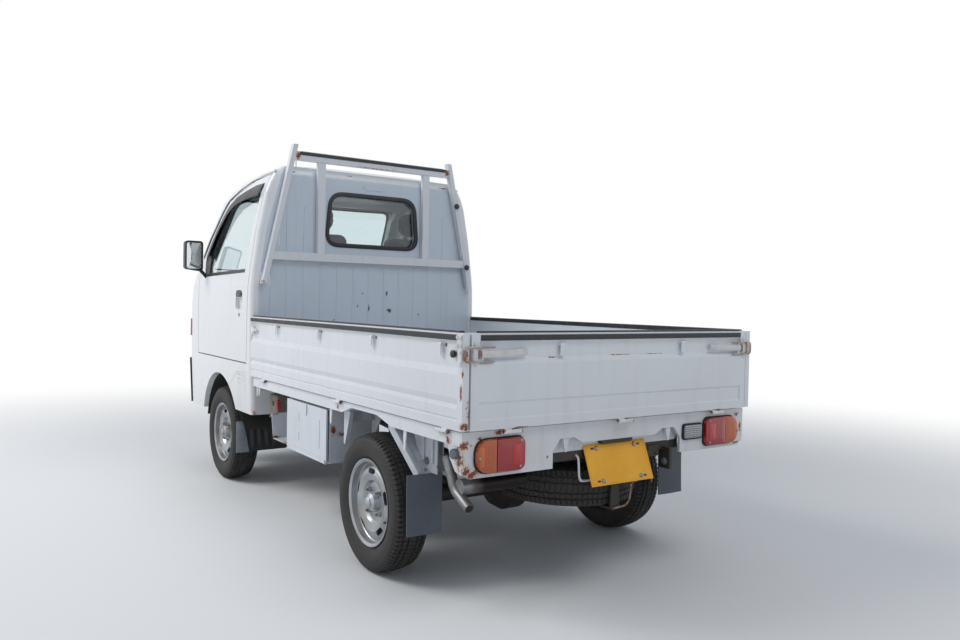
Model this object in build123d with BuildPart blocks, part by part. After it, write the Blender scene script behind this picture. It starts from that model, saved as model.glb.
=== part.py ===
from build123d import *
from math import cos, radians, sin
import os

os.makedirs("parts", exist_ok=True)

# A kei truck: cab over the front wheels, drop-side bed behind it. Millimetres.
# x runs across (the truck's left is +x), y along (front is -y), z up from the road.

# Running gear
wheelbase = 1885
front_axle_y = -950
rear_axle_y = front_axle_y + wheelbase
track = 1200
tyre_radius = 266
tyre_width = 145
stub_radius = 15
bore_clearance = 0.3

# Cab
body_half_width = 692
cab_front_y = -1639
cab_rear_y = -385
cab_wall = 40
sill_z = 372
rear_sill_z = 435
door_bottom_z = 703
screen_base_z = 1190
roof_z = 1768
floor_z = 640
floor_thickness = 32
door_front_y = -1375
door_rear_y = -460
door_gap = 6
arch_radius = 345
glass_thickness = 5
bumper_proud = 12
bumper_top_z = 657
bumper_bottom_z = 376

# Bed
gate_bottom_z = 641
gate_top_z = 948
gate_thickness = 24
gate_front_y = cab_rear_y + 5
rear_overhang = 702
gate_rear_y = rear_axle_y + rear_overhang
tailgate_y = gate_rear_y + 3
tailgate_half = body_half_width - 30
gate_gap = 6
deck_z = 655
deck_thickness = 14
rail_face = body_half_width - 12
rail_thickness = 22
rail_bottom_z = 590
hinge_z = 630
hinge_radius = 8
hinge_length = 70

# Frame
frame_half = 330
frame_width = 56
frame_height = 90
skirt_y = gate_rear_y - 17
skirt_thickness = 12
frame_rear_y = skirt_y - 30
rail_low_z = 420
rail_high_z = 500


def save(part, name):
    """Label a finished piece and write it as its own file."""
    part.label = name
    export_step(part, f"parts/{name}.step")


def block(xs, ys, zs, mode=Mode.ADD):
    """A box between two limits on each axis, in the piece being built."""
    with Locations(((xs[0] + xs[1]) / 2, (ys[0] + ys[1]) / 2, (zs[0] + zs[1]) / 2)):
        Box(xs[1] - xs[0], ys[1] - ys[0], zs[1] - zs[0], mode=mode)


def across(points, x_low, x_high, radius=0, mode=Mode.ADD):
    """A side-view outline of (y, z) points, made solid from x_low to x_high."""
    with BuildSketch(Plane.YZ.offset(x_low)) as outline:
        with BuildLine():
            Polyline(*points, close=True)
        make_face()
        if radius:
            fillet(outline.vertices(), radius)
    extrude(outline.sketch, amount=x_high - x_low, mode=mode)


def along(points, y_low, y_high, radius=0, mode=Mode.ADD):
    """A rear-view outline of (x, z) points, made solid from y_low to y_high."""
    with BuildSketch(Plane.XZ.offset(-y_high)) as outline:
        with BuildLine():
            Polyline(*points, close=True)
        make_face()
        if radius:
            fillet(outline.vertices(), radius)
    extrude(outline.sketch, amount=y_high - y_low, mode=mode)


def facing_rear(y):
    """A plane square to the truck's length whose second axis points up and normal to the rear."""
    return Plane(origin=(0, y, 0), x_dir=(-1, 0, 0), z_dir=(0, 1, 0))


def facing_side(x, side):
    """A plane square to the truck's width whose first axis points along y and normal outwards."""
    return Plane(origin=(x, 0, 0), x_dir=(0, side, 0), z_dir=(side, 0, 0))


def rod(start, end, radius, mode=Mode.ADD):
    """A round bar between two points."""
    direction = Vector(*end) - Vector(*start)
    with BuildSketch(Plane(origin=start, z_dir=direction)) as section:
        Circle(radius)
    extrude(section.sketch, amount=direction.length, mode=mode)


def pipe(points, bends, radius, wall=0):
    """A pipe or bent rod along straight runs joined by arcs."""
    with BuildLine() as path:
        FilletPolyline(*points, radius=bends)
    with BuildSketch(Plane(origin=path.line @ 0, z_dir=path.line % 0)) as section:
        Circle(radius)
        if wall:
            Circle(radius - wall, mode=Mode.SUBTRACT)
    sweep(section.sketch, path=path.line)


# Cab skin: level outlines from the sill to the roof. Each row holds the height, how much
# narrower than the body it is, how far its front lies behind the nose, how far the front's
# corners lie behind its middle, the corner radius, and how far the rear face is drawn in.
cab_levels = (
    (sill_z, 14, 15, 30, 70, 0),
    (640, 3, 3, 32, 80, 0),
    (1000, 0, 0, 35, 90, 0),
    (1110, 2, 18, 38, 95, 0),
    (screen_base_z, 9, 66, 45, 95, 0),
    (1400, 37, 222, 50, 95, 0),
    (1601, 76, 378, 50, 95, 0),
    (1661, 98, 479, 48, 100, 0),
    (1699, 118, 605, 40, 130, 2),
    (1725, 140, 730, 35, 160, 8),
    (1747, 175, 855, 30, 180, 20),
    (roof_z, 400, 930, 15, 90, 80),
)
rear_corner = 24


def cab_form(inset, bottom=sill_z):
    """The cab's closed outer form with every side moved inwards by inset."""
    with BuildPart() as form:
        for z, narrow, setback, bow, corner, drawn_in in cab_levels:
            half = body_half_width - narrow - inset
            front = cab_front_y + setback + inset
            side_front = front + bow
            rear = cab_rear_y - drawn_in - inset
            level = bottom if z == sill_z else z - inset * (z - floor_z) / (roof_z - floor_z)
            radius = max(corner - inset, 20)
            with BuildSketch(Plane.XY.offset(level)):
                with BuildLine():
                    Line((half - rear_corner, rear), (rear_corner - half, rear))
                    TangentArc((rear_corner - half, rear), (-half, rear - rear_corner), tangent=(-1, 0))
                    Line((-half, rear - rear_corner), (-half, side_front + radius))
                    TangentArc((-half, side_front + radius), (radius - half, side_front), tangent=(0, -1))
                    ThreePointArc((radius - half, side_front), (0, front), (half - radius, side_front))
                    TangentArc((half - radius, side_front), (half, side_front + radius), tangent=(1, 0))
                    Line((half, side_front + radius), (half, rear - rear_corner))
                    TangentArc((half, rear - rear_corner), (half - rear_corner, rear), tangent=(0, 1))
                make_face()
        loft(ruled=True)
    return form.part


def cab_skin(outer, inner):
    """A layer of the cab's form between two depths below its surface."""
    with BuildPart() as layer:
        add(cab_form(outer))
        add(cab_form(inner, sill_z - 50), mode=Mode.SUBTRACT)
    return layer.part


cab_outer = cab_form(0)
cab_inner = cab_form(cab_wall, sill_z - 50)
with BuildPart() as shell:
    add(cab_outer)
    add(cab_inner, mode=Mode.SUBTRACT)

# Side-view lines that part the cab's panels: (y, z)
gutter_line = ((cab_rear_y + 10, 1708), (-640, 1700), (-1000, 1617), (-1400, 1617))
door_outline = (
    (door_front_y, door_bottom_z),
    (door_rear_y, door_bottom_z),
    (door_rear_y + 22, 1150),
    (door_rear_y + 34, 1698),
    (-660, 1688),
    (-1004, 1604),
    (-1170, 1458),
    (door_front_y, 1235),
)
window_outline = (
    (-1262, 1166),
    (-512, 1178),
    (-466, 1650),
    (-640, 1648),
    (-960, 1596),
    (-1150, 1452),
    (-1290, 1262),
)
screen_low_half = body_half_width - 102
screen_high_half = body_half_width - 177
screen_outline = (
    (-screen_low_half, 1180),
    (screen_low_half, 1180),
    (screen_high_half, 1640),
    (-screen_high_half, 1640),
)
back_window = ((-282, 1342), (282, 1342), (258, 1622), (-258, 1622))
back_window_corner = 60
far = 900


def grown(points, by):
    """A side-view outline made solid across the whole cab, with its edges moved out."""
    with BuildPart() as swollen:
        with BuildSketch(Plane.YZ.offset(-far)):
            with BuildLine():
                Polyline(*points, close=True)
            make_face()
            offset(amount=by, kind=Kind.INTERSECTION)
        extrude(amount=2 * far)
    return swollen.part


door_hole = grown(door_outline, door_gap)


# The screen, the back window and the doors are cut from one shell, which is then parted
with BuildPart() as cut_shell:
    add(shell.part)
    along(screen_outline, -1700, -1060, 50, Mode.SUBTRACT)
    along(back_window, cab_rear_y - 100, cab_rear_y + 20, back_window_corner, Mode.SUBTRACT)

roof_region = (*gutter_line, (-1400, roof_z + 60), (cab_rear_y + 10, roof_z + 60))
with BuildPart() as cab_roof:
    add(cut_shell.part)
    across(roof_region, -far, far, mode=Mode.INTERSECT)
save(cab_roof.part, "cab_roof")

panel_front = door_front_y - door_gap
pillar_inner = body_half_width - 192
with BuildPart() as cab_front:
    add(cut_shell.part)
    block((-far, far), (-1700, panel_front), (560, screen_base_z), Mode.INTERSECT)
    for side in (-1, 1):
        inner, outer = sorted((side * pillar_inner, side * far))
        block((inner, outer), (-1700, panel_front), (500, door_bottom_z), Mode.SUBTRACT)
save(cab_front.part, "cab_front")

# The back wall fills the rear face between the corner pillars
back_edge = (
    # x, z up the right edge of the back wall
    (body_half_width - cab_wall, 560),
    (body_half_width - cab_wall, 1120),
    (body_half_width - 77, 1400),
    (body_half_width - 157, 1708),
)
back_region = back_edge + tuple((-x, z) for x, z in reversed(back_edge))
rib_height = 5
rib_width = 58
rib_pitch = 96
rib_taper = 35
rib_bottom_z = 704
inner_rib_top_z = 1236
outer_rib_top_z = 1545
outer_ribs = (-5, -4, 4, 5)
field_height = 2.5
field_edge = ((600, 690), (585, 1280), (520, 1600), (430, 1668))
window_flange = 16
boss_size = (130, 46)
boss_z = 1676
with BuildPart() as rear_slab:
    along(back_region, cab_rear_y - cab_wall, cab_rear_y + 5)
with BuildPart() as cab_back:
    add(cut_shell.part)
    add(rear_slab.part, mode=Mode.INTERSECT)
    across(roof_region, -far, far, mode=Mode.SUBTRACT)
    along(field_edge + tuple((-x, z) for x, z in reversed(field_edge)), cab_rear_y - 1,
          cab_rear_y + field_height, 40)
    with BuildSketch(facing_rear(cab_rear_y)) as ribs:
        for n in range(-5, 6):
            top = outer_rib_top_z if n in outer_ribs else inner_rib_top_z
            with Locations((n * rib_pitch, (rib_bottom_z + top) / 2)):
                RectangleRounded(rib_width, top - rib_bottom_z, 12)
    extrude(ribs.sketch, amount=rib_height, taper=rib_taper)
    with BuildSketch(facing_rear(cab_rear_y - 4)) as boss:
        with Locations((0, boss_z)):
            SlotOverall(*boss_size)
    extrude(boss.sketch, amount=10, taper=25)
    with BuildSketch(facing_rear(cab_rear_y)) as flange:
        with BuildLine():
            Polyline(*back_window, close=True)
        make_face()
        fillet(flange.vertices(), back_window_corner)
        offset(amount=window_flange)
    extrude(flange.sketch, amount=rib_height)
    along(back_window, cab_rear_y - cab_wall - 10, cab_rear_y + 20, back_window_corner, Mode.SUBTRACT)
save(cab_back.part, "cab_back")

# The sides: pillars, the panel under the door and its wheel arch, a service panel's edge and slots
groove_x = body_half_width - 7
slot_y = -540
slot_size = (113, 8)
slot_zs = (586, 609, 632)
service_line = (
    # y, z along the upper edge of the groove and back along its lower edge
    (-768, 553), (-615, 644), (-467, 654), (-467, 445), (-470, 445), (-470, 651), (-615, 641), (-768, 549),
)
arch_y = front_axle_y - 5
rear_low = (
    (arch_y + 250, 300),
    (arch_y + 300, rear_sill_z),
    (cab_rear_y + 10, rear_sill_z),
    (cab_rear_y + 10, 300),
)
for side, name in ((1, "left"), (-1, "right")):
    with BuildPart() as cab_side:
        add(cut_shell.part)
        inner, outer = sorted((side * pillar_inner, side * far))
        block((inner, outer), (-1700, cab_rear_y + 10), (300, roof_z + 50), Mode.INTERSECT)
        across(roof_region, -far, far, mode=Mode.SUBTRACT)
        add(rear_slab.part, mode=Mode.SUBTRACT)
        block((-far, far), (-1700, panel_front), (door_bottom_z, screen_base_z), Mode.SUBTRACT)
        add(door_hole, mode=Mode.SUBTRACT)
        with BuildSketch(Plane.YZ.offset(-far)):
            with Locations((arch_y, tyre_radius)):
                Circle(arch_radius)
        extrude(amount=2 * far, mode=Mode.SUBTRACT)
        across(rear_low, -far, far, mode=Mode.SUBTRACT)
        with BuildSketch(facing_side(side * groove_x, side)) as slots:
            for z in slot_zs:
                with Locations((side * slot_y, z)):
                    SlotOverall(*slot_size)
        extrude(slots.sketch, amount=20, mode=Mode.SUBTRACT)
        low, high = sorted((side * groove_x, side * far))
        across(service_line, low, high, mode=Mode.SUBTRACT)
    save(cab_side.part, f"cab_side_{name}")

# Doors: one wall thick with the window cut; each window frame holds its pane. The handle is a lever
# in the upper half of a pressed pocket, with the lock below it.
handle_place = (-585, 1032)
handle_size = (110, 104)
handle_depth = 20
lever_size = (98, 36)
lock_place = (-574, 953)
lock_radius = 11
door_body = grown(door_outline, 0)
glass_inset = 14
glass_layer = cab_skin(glass_inset, glass_inset + glass_thickness)
window_hole = grown(window_outline, 0)
for side, name in ((1, "left"), (-1, "right")):
    inner, outer = sorted((side * pillar_inner, side * far))
    with BuildPart() as door:
        add(shell.part)
        block((inner, outer), (-1700, cab_rear_y), (300, roof_z), Mode.INTERSECT)
        add(door_body, mode=Mode.INTERSECT)
        add(window_hole, mode=Mode.SUBTRACT)
        with BuildSketch(facing_side(side * (body_half_width - handle_depth), side)) as pocket:
            with Locations((side * handle_place[0], handle_place[1])):
                RectangleRounded(*handle_size, 24)
        extrude(pocket.sketch, amount=2 * handle_depth, mode=Mode.SUBTRACT)
        with BuildSketch(facing_side(side * (body_half_width - handle_depth - 1), side)) as lever:
            with Locations((side * handle_place[0], handle_place[1] + 31)):
                RectangleRounded(*lever_size, 12)
        extrude(lever.sketch, amount=handle_depth - 2)
        rod((side * (body_half_width - 20), *lock_place), (side * (body_half_width + 1), *lock_place),
            lock_radius)
    save(door.part, f"door_{name}")
    with BuildPart() as door_glass:
        add(glass_layer)
        block((inner, outer), (-1700, cab_rear_y), (300, roof_z), Mode.INTERSECT)
        add(window_hole, mode=Mode.INTERSECT)
    save(door_glass.part, f"door_glass_{name}")

# Mirrors: a cased glass on an arm from the front corner of the door's window
mirror_y = -1212
mirror_low_z = 1196
mirror_high_z = 1378
mirror_inner_x = body_half_width + 20
mirror_outer_x = body_half_width + 124
mirror_depth = 46
for side, name in ((1, "left"), (-1, "right")):
    with BuildPart() as door_mirror:
        corners = (
            (side * mirror_inner_x, mirror_low_z),
            (side * mirror_outer_x, mirror_low_z + 14),
            (side * mirror_outer_x, mirror_high_z),
            (side * mirror_inner_x, mirror_high_z),
        )
        along(corners, mirror_y - mirror_depth, mirror_y, 18)
        rod((side * (mirror_inner_x + 12), mirror_y - 24, mirror_low_z + 12),
            (side * (body_half_width - 20), mirror_y - 42, mirror_low_z - 40), 10)
        add(cab_outer, mode=Mode.SUBTRACT)
    save(door_mirror.part, f"mirror_{name}")

# Fixed glass: the screen follows the cab's form and the back window is flat
with BuildPart() as cab_glass:
    add(glass_layer)
    along(screen_outline, -1700, -1060, 50, Mode.INTERSECT)
    along(back_window, cab_rear_y - glass_inset - glass_thickness, cab_rear_y - glass_inset,
          back_window_corner)
save(cab_glass.part, "cab_glass")

# Floor with the seat box, and the two liners over the front wheels, welded together
seat_box_z = 830
seat_box_front_y = -905
liner_inner_x = track / 2 - 228
liner_wall = 4
floor_line = (
    (-1590, floor_z),
    (seat_box_front_y, floor_z),
    (seat_box_front_y, seat_box_z),
    (-430, seat_box_z),
    (-430, seat_box_z - floor_thickness),
    (seat_box_front_y + floor_thickness, seat_box_z - floor_thickness),
    (seat_box_front_y + floor_thickness, floor_z - floor_thickness),
    (-1590, floor_z - floor_thickness),
)
with BuildPart() as cab_floor:
    across(floor_line, -far, far)
    add(cab_inner, mode=Mode.INTERSECT)
    for side in (-1, 1):
        inner = side * liner_inner_x
        outer = side * (body_half_width - cab_wall)
        low, high = sorted((inner, outer))
        with BuildSketch(Plane.YZ.offset(low)) as liner:
            with Locations((arch_y, tyre_radius)):
                Circle(arch_radius)
                Circle(arch_radius - liner_wall, mode=Mode.SUBTRACT)
            with Locations((arch_y, tyre_radius - arch_radius + 60)):
                Rectangle(2 * arch_radius, 2 * arch_radius, mode=Mode.SUBTRACT)
        extrude(liner.sketch, amount=high - low)
        low, high = sorted((inner, inner + side * liner_wall))
        with BuildSketch(Plane.YZ.offset(low)) as wall:
            with Locations((arch_y, tyre_radius)):
                Circle(arch_radius)
            with Locations((arch_y, tyre_radius - arch_radius + 60)):
                Rectangle(2 * arch_radius, 2 * arch_radius, mode=Mode.SUBTRACT)
        extrude(wall.sketch, amount=high - low)
save(cab_floor.part, "cab_floor")

# Front bumper with its air intake, lamps and the dark grille band between them
intake_z = 452
intake_size = (640, 72)
with BuildPart() as bumper_front:
    add(cab_form(-bumper_proud))
    block((-far, far), (-1700, -1560), (bumper_bottom_z, bumper_top_z), Mode.INTERSECT)
    add(cab_outer, mode=Mode.SUBTRACT)
    with BuildSketch(Plane.XZ.offset(1400)) as intake:
        with Locations((0, intake_z)):
            RectangleRounded(*intake_size, 24)
    extrude(intake.sketch, amount=400, mode=Mode.SUBTRACT)
save(bumper_front.part, "bumper_front")

lamp_proud = 8
lamp_layer = cab_form(-lamp_proud)
headlamp_x = (body_half_width - 277, body_half_width - 92)
headlamp_z = (795, 925)
signal_x = (body_half_width - 80, body_half_width + 68)
signal_z = (800, 906)
grille_half = headlamp_x[0] - 20
with BuildPart() as front_lamps:
    for side in (-1, 1):
        for xs, zs in ((headlamp_x, headlamp_z), (signal_x, signal_z)):
            with BuildSketch(Plane.XZ.offset(1400)) as lens:
                with Locations((side * (xs[0] + xs[1]) / 2, (zs[0] + zs[1]) / 2)):
                    RectangleRounded(xs[1] - xs[0], zs[1] - zs[0], 14)
            extrude(lens.sketch, amount=400)
    block((-far, far), (-1700, -1545), (700, 1000), Mode.INTERSECT)
    add(lamp_layer, mode=Mode.INTERSECT)
    add(cab_outer, mode=Mode.SUBTRACT)
save(front_lamps.part, "front_lamps")

with BuildPart() as front_grille:
    with BuildSketch(Plane.XZ.offset(1400)) as band:
        with Locations((0, (headlamp_z[0] + headlamp_z[1]) / 2)):
            RectangleRounded(2 * grille_half, 84, 12)
            for n in range(3):
                with Locations((0, (n - 1) * 24)):
                    RectangleRounded(2 * grille_half - 40, 9, 4, mode=Mode.SUBTRACT)
    extrude(band.sketch, amount=400)
    add(lamp_layer, mode=Mode.INTERSECT)
    add(cab_outer, mode=Mode.SUBTRACT)
save(front_grille.part, "front_grille")

# Dash with the steering column; the wheel turns on the column's end
wheel_x = -330
steer_hub = (wheel_x, -1120, 1075)
column_tilt = 50
hub_depth = 5
seat_gap = 0.3
steer_wheel_radius = 185
steer_rim_radius = 13
column_axis = (0, -cos(radians(column_tilt)), -sin(radians(column_tilt)))
hood_line = ((-1420, 1165), (-1318, 1130), (-1296, 1190), (-1330, 1222), (-1420, 1200))
dash_line = ((-1600, 900), (-1330, 900), (-1300, 1060), (-1390, 1178), (-1600, 1178))


def down_column(distance):
    """The point on the column's axis at a distance below the steering wheel's hub."""
    return tuple(c + distance * a for c, a in zip(steer_hub, column_axis))


with BuildPart() as dash:
    across(dash_line, -far, far)
    add(cab_inner, mode=Mode.INTERSECT)
    across(((-1345, 905), (-1290, 905), (-1255, 862), (-1330, 800)), wheel_x - 22, wheel_x + 22)
    across(hood_line, wheel_x - 150, wheel_x + 150, 14)
    rod(down_column(34), down_column(600), 30)
    rod(down_column(hub_depth + seat_gap), down_column(40), 11)
    block((-far, 0), (-1700, -1000), (300, floor_z), Mode.SUBTRACT)
save(dash.part, "dash")

wheel_plane = Plane(origin=steer_hub, x_dir=(1, 0, 0), z_dir=tuple(-a for a in column_axis))
with BuildPart() as steering_wheel:
    with BuildSketch(Plane(origin=steer_hub, x_dir=(1, 0, 0),
                           z_dir=(0, sin(radians(column_tilt)), -cos(radians(column_tilt))))) as ring:
        with Locations((steer_wheel_radius, 0)):
            Circle(steer_rim_radius)
    revolve(ring.sketch, axis=Axis(steer_hub, column_axis), revolution_arc=360)
    with BuildSketch(wheel_plane.offset(-hub_depth)) as hub:
        Circle(52)
        for angle in (0, 180, 270):
            with Locations(Rot(0, 0, angle)):
                with Locations((steer_wheel_radius / 2, 0)):
                    Rectangle(steer_wheel_radius - 6, 34)
    extrude(hub.sketch, amount=14)
save(steering_wheel.part, "steering_wheel")

# Seats: a cushion and a back with its head restraint, twice
seat_x = 330
seat_half = 225
cushion_bottom_z = seat_box_z + seat_gap
cushion_line = ((-985, cushion_bottom_z), (-500, cushion_bottom_z), (-500, 930), (-960, 965))
back_line = ((-554.2, 945), (-452.2, 945), (-426.2, 1420), (-524.2, 1420))
restraint_line = ((-514.2, 1420.3), (-430.2, 1420.3), (-424.2, 1560), (-499.2, 1560))
with BuildPart() as seats:
    for side in (-1, 1):
        low, high = side * seat_x - seat_half, side * seat_x + seat_half
        across(cushion_line, low, high, 24)
        across(back_line, low + 10, high - 10, 30)
        across(restraint_line, side * seat_x - 120, side * seat_x + 120, 24)
save(seats.part, "seats")

# Engine under the seats
with BuildPart() as engine:
    block((-230, 200), (-860, -430), (330, 790))
save(engine.part, "engine")

# Ladder frame: two kicked-up rails with cross members, cab mounts and outriggers
kick_front_y = -420
kick_rear_y = -240
rail_line = (
    (-1560, rail_low_z),
    (kick_front_y, rail_low_z),
    (kick_rear_y, rail_high_z),
    (frame_rear_y, rail_high_z),
    (frame_rear_y, rail_high_z + frame_height),
    (kick_rear_y - 20, rail_high_z + frame_height),
    (kick_front_y - 20, rail_low_z + frame_height),
    (-1560, rail_low_z + frame_height),
)
cross_members = (
    # y, lowest z, depth along y, height
    (-1520, rail_low_z, 60, 60),
    (front_axle_y - 20, 310, 90, 112),
    (-330, 470, 60, 60),
    (100, rail_high_z, 50, 60),
    (rear_axle_y - 375, rail_high_z, 50, 60),
    (rear_axle_y + 145, rail_high_z, 50, 60),
    (frame_rear_y - 30, rail_high_z, 60, 80),
)
cab_mounts = (-1470, -480)
carrier_half = 20
eye_radius = 14
eye_x = (-262, -250)
tow_eyes = (
    # y, z of the hole, height of the member it hangs from
    (frame_rear_y + 10, 455, rail_high_z),
    (-1540, 350, rail_low_z),
)
with BuildPart() as frame:
    for side in (-1, 1):
        low, high = sorted((side * (frame_half - frame_width), side * frame_half))
        across(rail_line, low, high)
        for y in cab_mounts:
            block((low + 8, high - 8), (y - 30, y + 30),
                  (rail_low_z + frame_height, floor_z - floor_thickness))
    for y, z, depth, height in cross_members:
        block((-frame_half, frame_half), (y - depth / 2, y + depth / 2), (z, z + height))
    for y, z, top in tow_eyes:
        block(eye_x, (y - 30, y + 26), (z - 26, top + 10))
        rod((eye_x[0], y, z), (eye_x[1], y, z), eye_radius, Mode.SUBTRACT)
save(frame.part, "frame")

# Bed: deck on cross sills between two side rails, with the fixed hinge knuckles
rail_top_z = gate_bottom_z - gate_gap
side_hinges = (gate_front_y + 183, rear_axle_y - 238, gate_rear_y - 122)
tail_hinges = (-500, 0, 500)
hinge_x = body_half_width - 3
tail_hinge_y = tailgate_y + 1
tail_hinge_radius = 7
hinge_play = 0.3
sill_ys = (gate_front_y + 45, 30, 395, rear_axle_y - 245, rear_axle_y + 245, gate_rear_y - 67)
bed_front_y = gate_front_y + 18
rail_outline = (
    (bed_front_y, rail_top_z),
    (skirt_y - skirt_thickness, rail_top_z),
    (skirt_y - skirt_thickness, rail_bottom_z),
    (rear_axle_y + 216, rail_bottom_z),
    (rear_axle_y + 102, 618),
    (rear_axle_y - 119, 618),
    (rear_axle_y - 209, rail_bottom_z),
    (bed_front_y, rail_bottom_z),
)
with BuildPart() as bed_frame:
    for side in (-1, 1):
        low, high = sorted((side * (rail_face - rail_thickness), side * rail_face))
        across(rail_outline, low, high)
        for y in side_hinges:
            rod((side * hinge_x, y - hinge_length / 2, hinge_z), (side * hinge_x, y - hinge_play, hinge_z),
                hinge_radius)
            low, high = sorted((side * rail_face, side * hinge_x))
            block((low, high), (y - hinge_length / 2, y - hinge_play), (hinge_z - 6, hinge_z + 5))
    for y in sill_ys:
        block((rail_thickness - rail_face, rail_face - rail_thickness), (y - 32, y + 32),
              (rail_bottom_z, deck_z - deck_thickness))
save(bed_frame.part, "bed_frame")

deck_half = body_half_width - gate_thickness - gate_gap
deck_rear_y = tailgate_y - gate_thickness - gate_gap
with BuildPart() as bed_deck:
    block((-deck_half, deck_half), (bed_front_y, deck_rear_y), (deck_z - deck_thickness, deck_z))
    for n in range(-5, 6):
        with BuildSketch(Plane.XZ.offset(-deck_rear_y + 40)) as groove:
            with Locations((n * 110, deck_z)):
                Rectangle(46, 8)
        extrude(groove.sketch, amount=deck_rear_y - bed_front_y - 80, mode=Mode.SUBTRACT)
save(bed_deck.part, "bed_deck")

# Drop sides: how far the pressed face lies behind the gate's outer face at each height
gate_profile = (
    (0, gate_bottom_z),
    (0, 670),
    (4, 675),
    (0, 681),
    (0, 708),
    (7, 722),
    (0, 742),
    (0, 816),
    (12, 838),
    (12, 920),
    (0, 922),
    (0, gate_top_z),
)
gate_flange = 30
side_hooks = (gate_front_y + 360, gate_front_y + 870, gate_rear_y - 637, gate_rear_y - 142)
tail_hooks = (-295, 295)
hook_half = 11
hook_profile = (
    # out from the pressed band's face, z
    (-2, 913), (11, 913), (14, 908), (14, 872), (10.5, 872), (10.5, 904), (8, 906), (-2, 906),
)
latch_z = (858, 905)
lever_profile = (
    # along from the latch's bracket, z
    (0, 894), (0, 869), (150, 874), (182, 882), (150, 890),
)
lever_reach = 14
for side, name in ((1, "left"), (-1, "right")):
    outer = side * body_half_width
    inner = side * (body_half_width - gate_thickness)
    with BuildPart() as gate:
        section = [(outer - side * depth, z) for depth, z in gate_profile]
        section += [(inner, gate_top_z), (inner, gate_bottom_z)]
        along(section, gate_front_y, gate_rear_y)
        low, high = sorted((inner, outer))
        block((low, high), (gate_rear_y - gate_flange, gate_rear_y), (gate_bottom_z, gate_top_z))
        band = outer - side * 12
        for y in side_hooks:
            along([(band + side * out, z) for out, z in hook_profile], y - hook_half, y + hook_half)
        low, high = sorted((band - side * 2, band + side * lever_reach))
        across([(gate_front_y + 8 + 0.45 * length, z) for length, z in lever_profile], low, high)
        low, high = sorted((band - side * 2, band + side * 10))
        block((low, high), (gate_front_y + 2, gate_front_y + 20), latch_z)
        for y in side_hinges:
            rod((side * hinge_x, y + hinge_play, hinge_z), (side * hinge_x, y + hinge_length / 2, hinge_z),
                hinge_radius)
            low, high = sorted((side * (hinge_x - 5), outer))
            block((low, high), (y + hinge_play, y + hinge_length / 2), (hinge_z, gate_bottom_z))
    save(gate.part, f"gate_{name}")

tail_profile = (
    (0, gate_bottom_z),
    (0, 672),
    (3, 677),
    (3, 724),
    (0, 731),
    (0, 850),
    (10, 868),
    (10, 920),
    (0, 922),
    (0, gate_top_z),
)
tail_band = tailgate_y - 10
with BuildPart() as tailgate:
    section = [(tailgate_y - depth, z) for depth, z in tail_profile]
    section += [(tailgate_y - gate_thickness, gate_top_z), (tailgate_y - gate_thickness, gate_bottom_z)]
    across(section, -tailgate_half, tailgate_half)
    for side in (-1, 1):
        low, high = sorted((side * (tailgate_half - gate_flange), side * tailgate_half))
        block((low, high), (tailgate_y - gate_thickness, tailgate_y), (gate_bottom_z, gate_top_z))
        along([(side * (tailgate_half - 36 - length), z) for length, z in lever_profile], tail_band - 2,
              tail_band + lever_reach)
        low, high = sorted((side * (tailgate_half - 46), side * (tailgate_half - 24)))
        block((low, high), (tail_band - 2, tail_band + 11), latch_z)
    for x in tail_hooks:
        across([(tail_band + out, z) for out, z in hook_profile], x - hook_half, x + hook_half)
    for x in tail_hinges:
        rod((x + hinge_play, tail_hinge_y, hinge_z), (x + hinge_length / 2, tail_hinge_y, hinge_z),
            tail_hinge_radius)
        block((x + hinge_play, x + hinge_length / 2), (tail_hinge_y - 6, tailgate_y),
              (hinge_z, gate_bottom_z))
save(tailgate.part, "tailgate")

# Rear skirt: panel under the tailgate, wrapped round both corners, with the gates' rubber stops
skirt_bottom_z = 487
recess_half = 312
skirt_outline = (
    (rail_face, rail_top_z),
    (rail_face, skirt_bottom_z + 30),
    (rail_face - 30, skirt_bottom_z),
    (recess_half, skirt_bottom_z),
    (recess_half, 545),
    (280, 586),
    (216, 586),
    (178, 565),
)
skirt_points = skirt_outline + tuple((-x, z) for x, z in reversed(skirt_outline))
stop_radius = 16
stop_length = 15
with BuildPart() as rear_skirt:
    along(skirt_points, skirt_y - skirt_thickness, skirt_y)
    for side in (-1, 1):
        low, high = sorted((side * (rail_face - 12), side * rail_face))
        across(((skirt_y - 2, rail_bottom_z - 0.3), (skirt_y - 80, rail_bottom_z - 0.3),
                (skirt_y - 68, 545), (skirt_y - 35, 508), (skirt_y - 2, 500)), low, high)
        rod((side * (rail_face - 1), skirt_y - 30, 566),
            (side * (rail_face + stop_length), skirt_y - 30, 566), stop_radius)
        tab = [(side * x, z) for x, z in ((236, 592), (266, 592), (255, 537), (248, 537))]
        along(tab, skirt_y - skirt_thickness, skirt_y - 4)
    for x in tail_hinges:
        rod((x - hinge_length / 2, tail_hinge_y, hinge_z), (x - hinge_play, tail_hinge_y, hinge_z),
            tail_hinge_radius)
        block((x - hinge_length / 2, x - hinge_play), (skirt_y - 1, tail_hinge_y),
              (hinge_z - 5, rail_top_z))
save(rear_skirt.part, "rear_skirt")

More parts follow.
